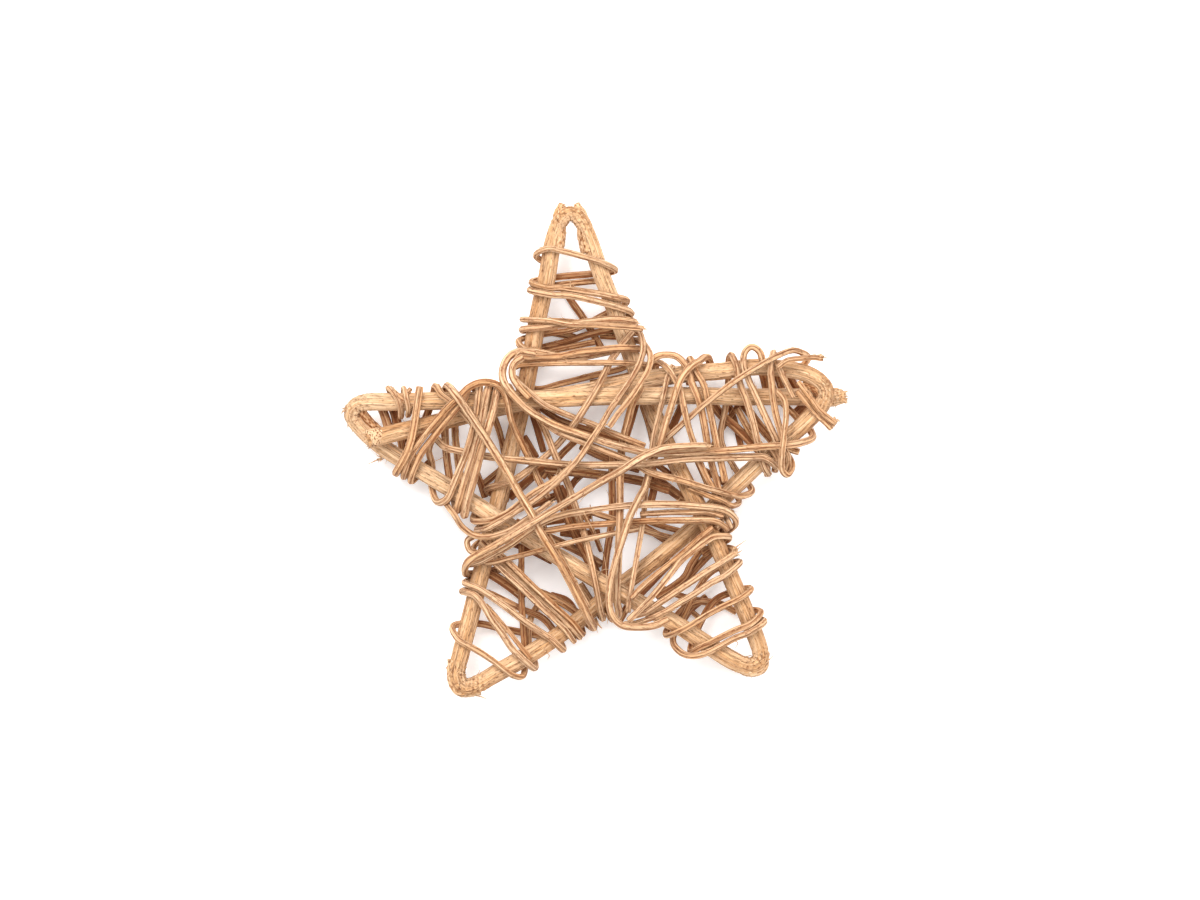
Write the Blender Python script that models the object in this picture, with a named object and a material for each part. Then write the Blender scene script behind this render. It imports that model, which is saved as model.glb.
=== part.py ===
"""Star wound from natural vine: one bent frame vine and the split strands that bind it."""

import bpy
import numpy as np

# Overall width from the left tip to the cut end at the right tip.
STAR_WIDTH = 0.1515
# The star is drawn on a square grid, this many units wide, x to the right and y down.
DRAWING_WIDTH = 505
UNIT = STAR_WIDTH / DRAWING_WIDTH
DRAWING_MIDDLE = np.array([596.0, 451.0])

VINE_DIAMETER = 0.0054
BROAD_STRAND = 0.00235
THICK_STRAND = 0.0022
STRAND = 0.0020
THIN_STRAND = 0.0017
FINE_STRAND = 0.0015
# Space kept between neighbouring pieces.
GAP = 0.0003
# Room round each turn on the side of the vine, as a multiple of the closest fit.
TURN_ROOM_RATIO = 1.07
# Slopes along x and y by which the star leans to rest on its lowest strands.
LEAN = np.array([0.0087, -0.0174])
# Depth of the flats where the lowest strands rest.
REST_FLAT = 0.0004

VINE_SIDES = 8
STRAND_SIDES = 4
# Spacing of the points that find the strands' heights.
SAMPLE = 0.0012
# A straight stretch leaves out rings that lie this close to it.
STRAIGHTNESS = 0.00020
# Samples between two touches that still belong to one crossing.
NEAR_BY = 5
# Rounds of sliding the turns apart, of tightening the strands and of settling them clear.
SLIDING_ROUNDS = 40
TIGHTENING_ROUNDS = 420
SETTLING_ROUNDS = 160

# Frame vine: x, y, height in vine diameters, thickness at the kinked bends.
VINE_ROUTE = (
    (846, 397, -0.42, 1), (826, 397, -0.42, 1), (790, 397, -0.25, 1), (740, 397, 0.15, 1),
    (700, 396, 0.45, 1), (650, 396, 0.60, 1), (600, 397, 0.85, 1), (560, 399, 1.02, 1),
    (523, 400, 1.05, 1), (480, 401, 0.98, 1), (440, 401, 0.75, 1), (400, 402, 0.45, 1),
    (370, 402, 0.20, 1), (357, 405, 0.0, 0.88), (351, 414, -0.18, 0.82), (358, 426, -0.36, 0.92),
    (378, 444, -0.45, 1), (400, 459, -0.40, 1), (430, 477, -0.15, 1), (460, 495, 0.20, 1),
    (492, 515, 0.48, 1), (545, 549, 0.42, 1), (600, 582, 0.50, 1), (616, 590, 0.52, 1),
    (640, 604, 0.42, 1), (680, 627, 0.20, 1), (715, 650, 0.05, 1), (737, 663, 0.0, 0.95),
    (752, 667, 0.0, 0.78), (761, 660, 0.0, 0.78), (759, 645, 0.0, 0.95), (745, 610, 0.20, 1),
    (732, 580, 0.35, 1), (717, 545, 0.50, 1), (700, 510, 0.50, 1), (684, 478, 0.20, 1),
    (668, 445, -0.35, 1), (650, 403, -0.95, 1), (636, 368, -1.0, 1), (623, 332, -0.70, 1),
    (612, 301, -0.40, 1), (600, 270, -0.15, 1), (590, 240, 0.0, 0.97), (582, 221, 0.0, 0.78),
    (571, 212, 0.0, 0.74), (560, 221, 0.0, 0.78), (553, 240, 0.0, 0.97), (546, 280, -0.15, 1),
    (538, 315, -0.45, 1), (529, 365, -0.98, 1), (522, 400, -1.06, 1), (513, 440, -0.95, 1),
    (500, 492, -0.62, 1), (491, 530, -0.52, 1), (482, 568, -0.40, 1), (469, 620, -0.15, 1),
    (460, 655, 0.0, 0.97), (456, 675, 0.0, 0.82), (462, 687, 0.0, 0.8), (475, 686, 0.0, 0.85),
    (500, 672, 0.0, 0.97), (530, 655, -0.10, 1), (570, 628, -0.40, 1), (612, 594, -0.58, 1),
    (650, 565, -0.60, 1), (690, 532, -0.58, 1), (715, 507, -0.48, 1), (745, 477, -0.1, 1),
    (780, 445, 0.25, 1), (805, 423, 0.5, 1), (821, 406, 0.64, 0.95), (826, 392, 0.68, 0.85),
    (819, 381, 0.68, 0.95), (804, 373, 0.66, 1), (785, 369, 0.58, 1), (755, 367, 0.42, 1),
    (720, 371, 0.20, 1), (690, 373, 0.08, 1), (655, 378, 0.02, 1), (610, 387, -0.12, 1),
    (570, 394, -0.03, 1), (525, 402, 0.0, 1), (490, 409, -0.02, 1), (450, 419, 0.15, 1),
    (420, 427, 0.42, 1), (390, 434, 0.62, 1), (368, 440, 0.66, 1),
)

# Each strand is a name, a thickness and its route: x, y and layer. Layers above 0 run in front of
# the vine and below 0 behind it, the larger the further out. At 0 the strand turns round the vine.
STRANDS = (
    ("top_winding", STRAND, (
        (553, 266, -1.1), (539, 256, 0), (548, 249, 1), (560, 251, 1), (580, 256, 1), (600, 262, 1),
        (612, 271, 0), (590, 273, -1), (556, 276, -1), (533, 282, 0), (546, 288, 1), (560, 288, 1),
        (580, 291, 1), (600, 294, 1), (614, 297, 1), (625, 302, 0), (605, 313, -1), (575, 328, -1),
        (545, 333, -1), (518, 339, 0), (524, 349, 1), (535, 351, 1), (550, 354, 1), (566, 357, 1),
    )),
    ("top_winding_second", STRAND, (
        (604, 280, -1.1), (591, 280, -1.1), (556, 284, -1.1), (534, 290, 0), (550, 295, 1.2),
        (570, 296, 1.2), (590, 300, 1.2), (610, 305, 1.2), (629, 314, 0), (600, 322, -1.1),
        (560, 320, -1.1), (524, 319, 0), (536, 320, 1), (550, 321, 1), (570, 325, 1.3), (590, 325, 1.5),
        (620, 327, 1.8), (643, 329, 2),
    )),
    ("neck_winding", STRAND, (
        (575, 336, -1.3), (545, 330, -1.3), (521, 329, 0), (545, 327, 1.1), (575, 323, 1),
        (600, 320, 1), (620, 319, 1), (635, 323, 0), (590, 333, -1.2), (565, 341, -1.2),
        (540, 347, -1.2), (517, 356, 0), (528, 358, 2), (540, 357, 2), (560, 356, 2), (580, 352, 2),
        (600, 350, 2), (620, 348, 2), (642, 351, 0), (625, 366, -1), (600, 373, -1), (560, 383, -1),
        (535, 388, -1), (511, 376, 0), (519, 383, 1), (530, 393, 1), (545, 405, 1), (560, 412, 1),
        (575, 418, 1), (592, 424, 1), (610, 432, 1), (630, 440, 1), (645, 446, 1),
    )),
    ("waist_winding", THIN_STRAND, (
        (595, 341, -1), (575, 345, -1), (545, 352, -1), (514, 366, 0), (524, 364, 1.5), (560, 363, 1.5),
        (590, 363, 1.5), (620, 363, 1.5), (649, 366, 0), (625, 375, -1.2), (590, 382, -1.2),
    )),
    ("shoulder_binding", THICK_STRAND, (
        (536, 354, 0.8), (521, 352, 0.9), (510, 357, 2.5), (504, 368, 3), (504, 380, 3), (510, 391, 3),
        (520, 402, 3), (530, 411, 3), (545, 420, 3), (560, 427, 3), (592, 438, 3), (610, 444, 3),
        (630, 449, 3), (650, 453, 3), (670, 453, 3), (700, 452, 3), (730, 450, 3), (760, 447, 3),
        (780, 446, 3), (800, 443, 3), (812, 434, 0), (796, 415, -1), (778, 395, -1), (772, 375, -1),
        (773, 355, 0), (770, 368, 1.2), (771, 385, 1.2), (773, 402, 1.2), (776, 418, 1.2),
        (781, 435, 1.2), (785, 446, 1.2),
    )),
    ("cross_binding", STRAND, (
        (600, 334, -1.4), (620, 335, -1.4), (638, 332, 0), (643, 346, 4), (640, 362, 4), (632, 378, 4),
        (620, 396, 4), (610, 410, 4), (600, 427, 4), (590, 442, 4), (580, 457, 4), (565, 474, 4),
        (550, 488, 4), (535, 500, 4), (520, 509, 4), (500, 521, 4), (487, 528, 4), (474, 529, 0),
        (490, 521, -1.6), (512, 512, -1.6), (530, 505, -1.6),
    )),
    ("cross_binding_short", STRAND, (
        (632, 339, -0.8), (642, 341, 0), (650, 355, 3.8), (648, 370, 3.8), (640, 384, 3.8),
        (630, 399, 3.8), (618, 414, 3.8), (609, 427, 3.8),
    )),
    ("cross_binding_under", STRAND, (
        (633, 331, 1.1), (627, 338, 1.2), (618, 350, 1.2), (610, 362, 1.2), (603, 377, 1.2),
        (595, 392, 1.2), (587, 405, 1.2), (578, 419, 1.2), (570, 430, 1.2), (557, 445, 1.2),
        (545, 457, 1.2), (530, 469, 1.2), (512, 481, 1.2), (488, 490, 0), (498, 497, -1),
        (508, 500, -1),
    )),
    ("lower_left_binding", STRAND, (
        (481, 503, -0.9), (476, 516, 0), (486, 521, 3), (495, 519, 3), (510, 511, 3), (520, 503, 3),
        (535, 492, 3), (555, 480, 3), (573, 465, 3),
    )),
    ("lower_left_loop", STRAND, (
        (450, 496, -0.8), (446, 503, 0), (455, 515, 3), (463, 527, 3), (475, 535, 3), (490, 536, 3),
        (510, 530, 3), (525, 520, 3), (540, 510, 3), (551, 502, 3),
    )),
    ("low_cross_binding", THIN_STRAND, (
        (505, 534, -1), (485, 540, -1), (468, 547, 0), (480, 561, 1.8), (490, 563, 2), (510, 558, 2),
        (545, 549, 2), (575, 541, 2), (615, 533, 2), (638, 529, 2),
    )),
    ("diagonal_binding", THICK_STRAND, (
        (502, 570, -1.5), (484, 573, -1.5), (464, 574, 0), (468, 562, 5), (480, 553, 6), (495, 545, 6),
        (510, 536, 6), (530, 524, 6), (560, 506, 6), (580, 494, 6), (600, 482, 6), (620, 471, 6),
        (635, 461, 6), (650, 453, 6), (665, 448, 5), (690, 446, 4), (706, 446, 3.5),
    )),
    ("middle_binding", THICK_STRAND, (
        (481, 389, 0), (478, 408, 3.5), (475, 425, 3.5), (468, 450, 3.5), (460, 470, 3.5),
        (453, 487, 3.5), (447, 499, 3), (437, 502, 0.001), (431, 488, -1), (431, 465, -1),
        (428, 450, -1), (434, 438, 0), (445, 447, 2.5), (460, 451, 2.5), (485, 456, 2.5),
        (500, 458, 2.5), (540, 462, 2.5), (580, 465, 2.5), (640, 464, 2.5), (690, 459, 2.5),
        (750, 457, 2.5), (765, 458, 2.5), (779, 468, 0), (765, 450, -1), (750, 430, -1), (738, 408, -1),
    )),
    ("upper_slant_binding", STRAND, (
        (505, 410, -1.2), (507, 387, 0), (516, 398, 2.4), (530, 410, 2.4), (545, 423, 2.4),
        (560, 433, 2.4), (580, 441, 2.4), (600, 449, 2.4), (630, 461, 2.4), (650, 472, 2.4),
        (680, 480, 2.4), (710, 489, 2.4), (730, 494, 2.4), (743, 496, 2), (753, 490, 0), (737, 470, -1),
        (722, 440, -1), (726, 410, -1), (729, 385, -1), (730, 356, 0), (736, 366, 1), (738, 378, 1),
        (741, 388, 1), (746, 400, 1), (752, 420, 1), (757, 440, 1), (760, 452, 1), (764, 466, 1),
        (771, 476, 0), (760, 462, -1.2),
    )),
    ("short_slant_binding", THIN_STRAND, (
        (688, 487, 2.1), (700, 492, 2.2), (712, 497, 2.2), (722, 501, 2.2), (732, 506, 2),
        (741, 502, 0), (727, 485, -1.1), (705, 470, -1.1),
    )),
    ("lower_binding", STRAND, (
        (482, 563, -1), (468, 565, 0), (480, 561, 4), (490, 556, 4), (510, 545, 4), (530, 531, 4),
        (545, 521, 4), (565, 514, 4), (590, 510, 4), (620, 506, 4), (660, 504, 4), (700, 506, 4),
        (722, 509, 4), (733, 516, 3), (736, 524, 0.001), (728, 532, -1), (712, 537, -1), (680, 540, -1),
        (645, 531, -1), (615, 520, -1), (590, 512, -1),
    )),
    ("lowest_binding", STRAND, (
        (538, 532, 2.2), (550, 530, 2.2), (575, 526, 2.2), (600, 524, 2.2), (640, 521, 2.2),
        (690, 520, 2.2), (715, 521, 2.2), (727, 530, 0), (705, 532, -1.3), (685, 532, -1.3),
    )),
    ("lowest_binding_short", THIN_STRAND, (
        (640, 514, 2.1), (655, 513, 2.1), (670, 512, 2.1), (690, 512, 2.1), (705, 512, 2.1),
        (723, 516, 2.1),
    )),
    ("centre_upright", THICK_STRAND, (
        (642, 386, 0.9), (637, 395, 0.9), (632, 405, 0.9), (628, 420, 0.9), (623, 440, 0.9),
        (621, 455, 0.9), (620, 480, 2), (620, 510, 3), (619, 540, 3), (618, 570, 3), (617, 600, 3),
        (619, 613, 3), (612, 620, 0.001), (604, 600, -1), (606, 560, -1), (612, 520, -1),
        (612, 482, -1), (612, 455, -1),
    )),
    ("hooked_upright", THICK_STRAND, (
        (714, 376, -1), (708, 358, 0), (698, 362, 2.2), (690, 367, 2.2), (680, 380, 2.2),
        (673, 400, 2.2), (666, 422, 2.2), (659, 446, 2.2), (654, 458, 2.2), (650, 468, 2.3),
        (645, 486, 2.3), (638, 499, 5), (630, 515, 5), (625, 530, 5), (620, 545, 5), (615, 562, 5),
        (610, 582, 5), (609, 600, 5), (612, 614, 5), (622, 624, 4.5), (639, 626, 4), (655, 624, 4),
        (668, 618, 3),
    )),
    ("cut_upright", THIN_STRAND, (
        (673, 365, 0.8), (668, 376, 0.9), (664, 392, 0.9), (660, 410, 0.9), (655, 430, 0.9),
        (652, 447, 0.9), (650, 460, 0.9), (648, 472, 1), (646, 490, 1), (643, 520, 1), (638, 550, 1),
        (633, 578, 1), (629, 600, 1), (628, 612, 1),
    )),
    ("right_leg_binding", STRAND, (
        (655, 385, -1.1), (657, 365, 0), (665, 366, 2), (672, 375, 2), (680, 390, 2), (684, 410, 2),
        (689, 430, 2), (695, 448, 2), (700, 463, 2), (707, 478, 2), (716, 494, 1.9),
    )),
    ("right_leg_binding_second", STRAND, (
        (649, 364, 1.1), (656, 357, 1.1), (665, 355, 1.1), (677, 357, 1.3), (687, 368, 1.3),
        (691, 382, 1.3), (697, 397, 1.3), (701, 410, 1.3), (705, 430, 1.3), (708, 448, 1.3),
        (712, 465, 1.3), (717, 482, 1.3), (722, 500, 1.3), (727, 512, 1.3),
    )),
    ("right_leg_binding_third", STRAND, (
        (690, 385, -1), (690, 359, 0), (696, 372, 1.2), (703, 384, 1.2), (707, 400, 1.2),
        (711, 417, 1.2), (715, 437, 1.2), (719, 455, 1.2), (725, 482, 1.2),
    )),
    ("right_arm_slant", STRAND, (
        (792, 378, -1.2), (808, 359, 0.001), (800, 352, 1.5), (790, 351, 1.5), (775, 357, 1.5),
        (755, 368, 1.5), (735, 381, 1.5), (715, 396, 1.5), (700, 408, 1.5), (680, 426, 1.5),
        (662, 442, 1.5),
    )),
    ("right_arm_loop", STRAND, (
        (762, 361, 1), (759, 352, 1), (751, 347, 1), (744, 353, 1), (743, 365, 1), (748, 380, 1),
        (755, 395, 1), (764, 415, 1), (772, 432, 1), (777, 443, 1),
    )),
    ("right_arm_short", THIN_STRAND, (
        (777, 364, 1.3), (782, 376, 1.3), (788, 388, 1.3), (793, 398, 1.3),
    )),
    ("right_hanging_loop", THIN_STRAND, (
        (776, 391, 1.4), (783, 400, 2), (785, 415, 3), (783, 435, 4), (781, 452, 4), (781, 468, 4),
        (787, 475, 3), (793, 466, 0.001), (789, 455, -1), (778, 442, -1),
    )),
    ("right_tip_stub", THIN_STRAND, (
        (797, 382, 1.5), (808, 396, 1.5), (818, 410, 1.5), (827, 418, 1.2), (835, 424, 1.2),
    )),
    ("right_tip_stub_second", THIN_STRAND, (
        (796, 391, 1.4), (806, 403, 1.4), (816, 415, 1.4), (824, 422, 1.2), (831, 429, 1.2),
    )),
    ("right_tip_frayed", THIN_STRAND, (
        (776, 368, 1.9), (786, 361, 2), (800, 359, 2), (812, 358, 2), (822, 359, 2),
    )),
    ("left_arm_tangle", THIN_STRAND, (
        (396, 404, -1), (388, 389, 0), (394, 393, 1.5), (399, 401, 1.5), (401, 409, 1.5), (402, 418, 0),
        (402, 403, -1), (404, 387, 0), (407, 398, 1.5), (409, 409, 1.5), (408, 418, 0),
        (412, 405, -0.8),
    )),
    ("left_arm_winding", THICK_STRAND, (
        (421, 387, 0), (419, 400, 2.2), (416, 420, 2.2), (412, 440, 2.2), (406, 456, 2.2),
        (397, 470, 0), (412, 445, -1), (424, 420, -1), (432, 400, -1), (436, 388, 0), (443, 395, 1.5),
        (450, 400, 1.5), (460, 409, 1.5), (470, 420, 1.5), (481, 434, 1.5),
    )),
    ("left_arm_long", STRAND, (
        (415, 455, -1.2), (404, 475, 0), (411, 456, 2), (425, 436, 2), (440, 418, 2), (450, 407, 2),
        (460, 398, 2), (470, 388, 2), (482, 383, 2), (495, 384, 2), (504, 391, 2), (508, 402, 1.6),
        (511, 418, 1), (516, 431, 1), (525, 450, 1), (532, 465, 1), (540, 483, 1), (548, 498, 1),
    )),
    ("left_arm_slant", STRAND, (
        (428, 462, -1.3), (411, 480, 0), (420, 456, 1.8), (432, 440, 1.8), (446, 423, 1.8),
        (457, 410, 1.8), (465, 400, 1.8), (472, 388, 0), (484, 405, -1), (494, 420, -1), (503, 447, -1),
    )),
    ("long_binding", BROAD_STRAND, (
        (492, 396, -0.8), (489.5, 389, 0), (485, 408, 3.6), (481, 430, 3.6), (474, 455, 3.6),
        (466, 480, 3.6), (460, 500, 3), (456, 511, 0), (450, 485, -1), (446, 460, -1), (444, 430, -1),
        (446, 405, -1), (447, 388, 0), (459, 397, 5), (475, 420, 5), (490, 443, 5), (505, 467, 5),
        (520, 493, 5), (532, 513, 5), (540, 530, 5), (552, 549, 5), (564, 569, 5), (578, 596, 5),
        (588, 617, 4), (592, 628, 0), (575, 613, -1), (552, 599, -1), (530, 590, -1),
    )),
    ("long_binding_second", BROAD_STRAND, (
        (500, 396, -0.8), (498, 388, 0), (494, 410, 3.7), (488, 432, 3.7), (481, 455, 3.7),
        (474, 480, 3.7), (468, 500, 3), (464, 514, 0), (461, 487, -1), (457, 460, -1), (454, 430, -1),
        (456, 405, -1),
    )),
    ("inner_upright", STRAND, (
        (533, 400, -1.1), (537, 413, 0), (548, 437, 1.5), (555, 455, 1.5), (562, 470, 1.5),
        (570, 490, 1.5), (578, 515, 1.5), (586, 540, 1.5), (592, 565, 1.5), (597, 590, 1.5),
        (600, 608, 1.5), (604, 622, 0), (592, 604, -1.1), (580, 585, -1.1),
    )),
    ("inner_slant", STRAND, (
        (540, 519, 1.6), (545, 530, 1.6), (553, 544, 1.6), (564, 562, 1.6), (574, 582, 1.6),
        (588, 607, 1.6),
    )),
    ("lower_left_ring", STRAND, (
        (540, 638, -1.2), (500, 630, -1.2), (477, 625, -1.2), (453, 627, 0), (458, 639, 1),
        (466, 644, 1), (480, 652, 1), (495, 662, 1), (505, 670, 1), (514, 676, 0.7), (523, 675, 0),
        (524, 648, -1), (521, 600, -1), (521, 557, -1), (521, 545, -1),
    )),
    ("lower_left_winding", STRAND, (
        (476, 582, -1), (463, 583, 0), (479, 589, 1), (500, 603, 1), (520, 618, 1), (540, 632, 1),
        (552, 640, 1), (562, 649, 0), (545, 622, -1.1), (520, 610, -1.1), (500, 600, -1.1),
        (485, 594, -1.1), (462, 592, 0), (474, 595, 1.2), (483, 605, 1.2), (492, 620, 1.2),
        (502, 633, 1.2), (512, 648, 1.2), (525, 661, 1.2), (535, 668, 0), (528, 645, -1.1),
        (530, 620, -1.1), (540, 603, -1.1),
    )),
    ("lower_left_twin", FINE_STRAND, (
        (485, 605, 0.9), (497, 618, 0.9), (509, 632, 0.9), (520, 646, 0.9), (531, 659, 0.9),
    )),
    ("lower_left_slant", THIN_STRAND, (
        (488, 542, 1.5), (498, 552, 1.5), (515, 568, 1.5), (530, 583, 1.5), (545, 597, 1.5),
        (560, 611, 1.5), (573, 623, 1.5), (583, 635, 0), (570, 605, -1.2), (550, 596, -1.2),
    )),
    ("lower_left_slant_second", THIN_STRAND, (
        (481, 549, 1.4), (491, 560, 1.4), (505, 573, 1.4), (520, 587, 1.4), (540, 606, 1.4),
        (557, 622, 1.4), (566, 631, 1.4), (573, 641, 0), (558, 615, -1.3), (540, 600, -1.3),
    )),
    ("lower_right_winding", STRAND, (
        (740, 612, -1), (759, 613, 0), (750, 624, 2), (735, 630, 2), (715, 640, 2), (701, 647, 2),
        (690, 652, 0), (703, 620, -1), (715, 602, -1), (730, 594, -1), (749, 590, 0), (740, 598, 2),
        (725, 605, 2), (710, 613, 2), (695, 622, 2), (681, 630, 2), (665, 636, 0), (682, 612, -1.1),
        (700, 603, -1.1), (716, 606, -1.1),
    )),
    ("lower_right_winding_second", STRAND, (
        (742, 625, -1.1), (763, 622, 0), (750, 632, 1.9), (735, 638, 1.9), (720, 646, 1.9),
        (706, 653, 1.9), (692, 656, 1.5), (680, 652, 1), (672, 642, 0), (685, 615, -1), (697, 592, -1),
        (713, 572, -1), (737, 563, 0), (725, 575, 2), (710, 583, 2), (695, 593, 2), (680, 602, 2),
        (665, 611, 2), (650, 618, 2), (636, 623, 2), (624, 624, 2),
    )),
    ("lower_right_slant", STRAND, (
        (702, 552, -1), (716, 548, -1), (733, 552, 0), (720, 563, 2.2), (705, 572, 2.2),
        (690, 582, 2.2), (675, 592, 2.2), (660, 602, 2.2), (645, 612, 2.2), (631, 616, 2.2),
    )),
    ("lower_right_slant_over", STRAND, (
        (704, 557, -0.9), (716, 548, -0.9), (727, 538, 0), (715, 536, 2.4), (705, 541, 2.4),
        (692, 551, 2.4), (680, 561, 2.4), (668, 576, 2.4), (655, 592, 2.4), (645, 603, 2.4),
        (635, 613, 2.4), (628, 620, 2.4),
    )),
    ("lower_right_slant_under", THIN_STRAND, (
        (712, 527, 1.8), (700, 537, 1.8), (690, 546, 1.8), (675, 559, 1.8), (655, 575, 1.8),
        (640, 588, 1.8), (631, 598, 1.8),
    )),
)


def smooth(points, count=10):
    """Curve through the points, as a Catmull-Rom spline."""
    points = np.asarray(points, float)
    ends = np.vstack([2 * points[0] - points[1], points, 2 * points[-1] - points[-2]])
    t = np.linspace(0, 1, count, endpoint=False)[:, None]
    pieces = []
    for a, b, c, d in zip(ends, ends[1:], ends[2:], ends[3:]):
        bend = (2 * a - 5 * b + 4 * c - d) * t**2 + (3 * b - a - 3 * c + d) * t**3
        pieces.append(b + 0.5 * ((c - a) * t + bend))
    return np.vstack(pieces + [points[-1:]])


def evenly(points, step, along=3):
    """The same curve with points one step apart, measured over its first few columns."""
    lengths = np.linalg.norm(np.diff(points[:, :along], axis=0), axis=1)
    at = np.concatenate([[0], np.cumsum(lengths)])
    wanted = np.linspace(0, at[-1], max(3, int(round(at[-1] / step)) + 1))
    return np.column_stack([np.interp(wanted, at, column) for column in points.T])


def on_drawing(x_and_y):
    """Drawing units to metres, with y turned upwards."""
    return (np.asarray(x_and_y, float) - DRAWING_MIDDLE) * UNIT * np.array([1, -1])


def vine_line():
    """Points along the frame vine: x, y, z and radius."""
    route = np.array(VINE_ROUTE, float)
    heights = route[:, 2] * (VINE_DIAMETER + GAP)
    radii = route[:, 3] * VINE_DIAMETER / 2
    points = np.column_stack([on_drawing(route[:, :2]), heights, radii])
    return evenly(smooth(points), SAMPLE / 2)


def against_vine(points, radii, vine):
    """Each point moved straight out to where a strand of its radius clears the side of the vine."""
    moved = points.copy()
    for i, (point, radius) in enumerate(zip(points, radii)):
        away = point - vine[:, :2]
        nearest = np.argmin(np.hypot(away[:, 0], away[:, 1]))
        out = away[nearest] / np.hypot(*away[nearest])
        side = (vine[nearest, 3] + radius + GAP) * TURN_ROOM_RATIO
        moved[i] = vine[nearest, :2] + out * side
    return moved


def routes_of(strands, vine):
    """Routes in metres: x, y and layer. Turns lie against the vine, slid along it to clear each other."""
    routes = [np.array(route, float) for _, _, route in strands]
    for route in routes:
        route[:, :2] = on_drawing(route[:, :2])
    turns = [(i, k) for i, route in enumerate(routes) for k in np.nonzero(route[:, 2] == 0)[0]]
    radii = np.array([strands[i][1] / 2 for i, _ in turns])
    room = (radii[:, None] + radii[None, :] + GAP) * TURN_ROOM_RATIO
    np.fill_diagonal(room, 0)
    places = against_vine(np.array([routes[i][k, :2] for i, k in turns]), radii, vine)
    for _ in range(SLIDING_ROUNDS):
        apart = places[:, None, :] - places[None, :, :]
        distance = np.maximum(np.hypot(apart[..., 0], apart[..., 1]), 1e-9)
        short = np.maximum(room - distance, 0)
        slide = (apart * (short / distance)[..., None]).sum(axis=1) / 2
        places = against_vine(places + slide, radii, vine)
    for (i, k), place in zip(turns, places):
        routes[i][k, :2] = place
    return routes


def strand_line(route, radius, vine):
    """Points along one strand before tightening: x, y, z and layer."""
    points = route[:, :2]
    layer = route[:, 2]
    reach = VINE_DIAMETER / 2 + radius + GAP
    apart = np.linalg.norm(points[:, None, :] - vine[None, :, :2], axis=2)
    base = vine[apart.argmin(axis=1), 2]
    steps = np.sign(layer) * (reach + (np.abs(layer) - 1) * 2 * radius)
    height = np.where(np.abs(layer) < 1, layer * reach + base, steps)
    curve = smooth(np.column_stack([points, height, layer]))
    share = np.linspace(0, len(points) - 1, len(curve))
    curve[:, 2] = np.interp(share, np.arange(len(points)), height)
    curve[:, 3] = np.interp(share, np.arange(len(points)), layer)
    return evenly(curve, SAMPLE)


def halves(line, first):
    """Points and midpoints of a line in order, with the two samples each is the mean of."""
    a = np.arange(2 * len(line) - 1) // 2
    b = np.arange(1, 2 * len(line)) // 2
    return (line[a] + line[b]) / 2, a + first, b + first


def crossings(first, second, owner, layer):
    """Which of each touching pair lies in front, decided once for each stretch where two strands meet.
    A stretch ends where either strand turns from the front of the vine to its back."""
    meetings = {}
    stretch = np.zeros(len(first), int)
    total = []
    order = np.lexsort((second, first))
    for k in order:
        i, j = first[k], second[k]
        found = None
        recent = meetings.setdefault((owner[i], owner[j], layer[i] > 0, layer[j] > 0), [])
        for meeting in recent:
            if i - meeting[0] <= NEAR_BY and meeting[1] - NEAR_BY <= j <= meeting[2] + NEAR_BY:
                found = meeting
                break
        if found is None:
            found = [i, j, j, len(total)]
            recent.append(found)
            total.append(0.0)
        if i > found[0]:
            found[:3] = i, j, j
        found[1] = min(found[1], j)
        found[2] = max(found[2], j)
        stretch[k] = found[3]
        total[found[3]] += layer[i] - layer[j]
    return np.array(total)[stretch] >= 0


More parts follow.
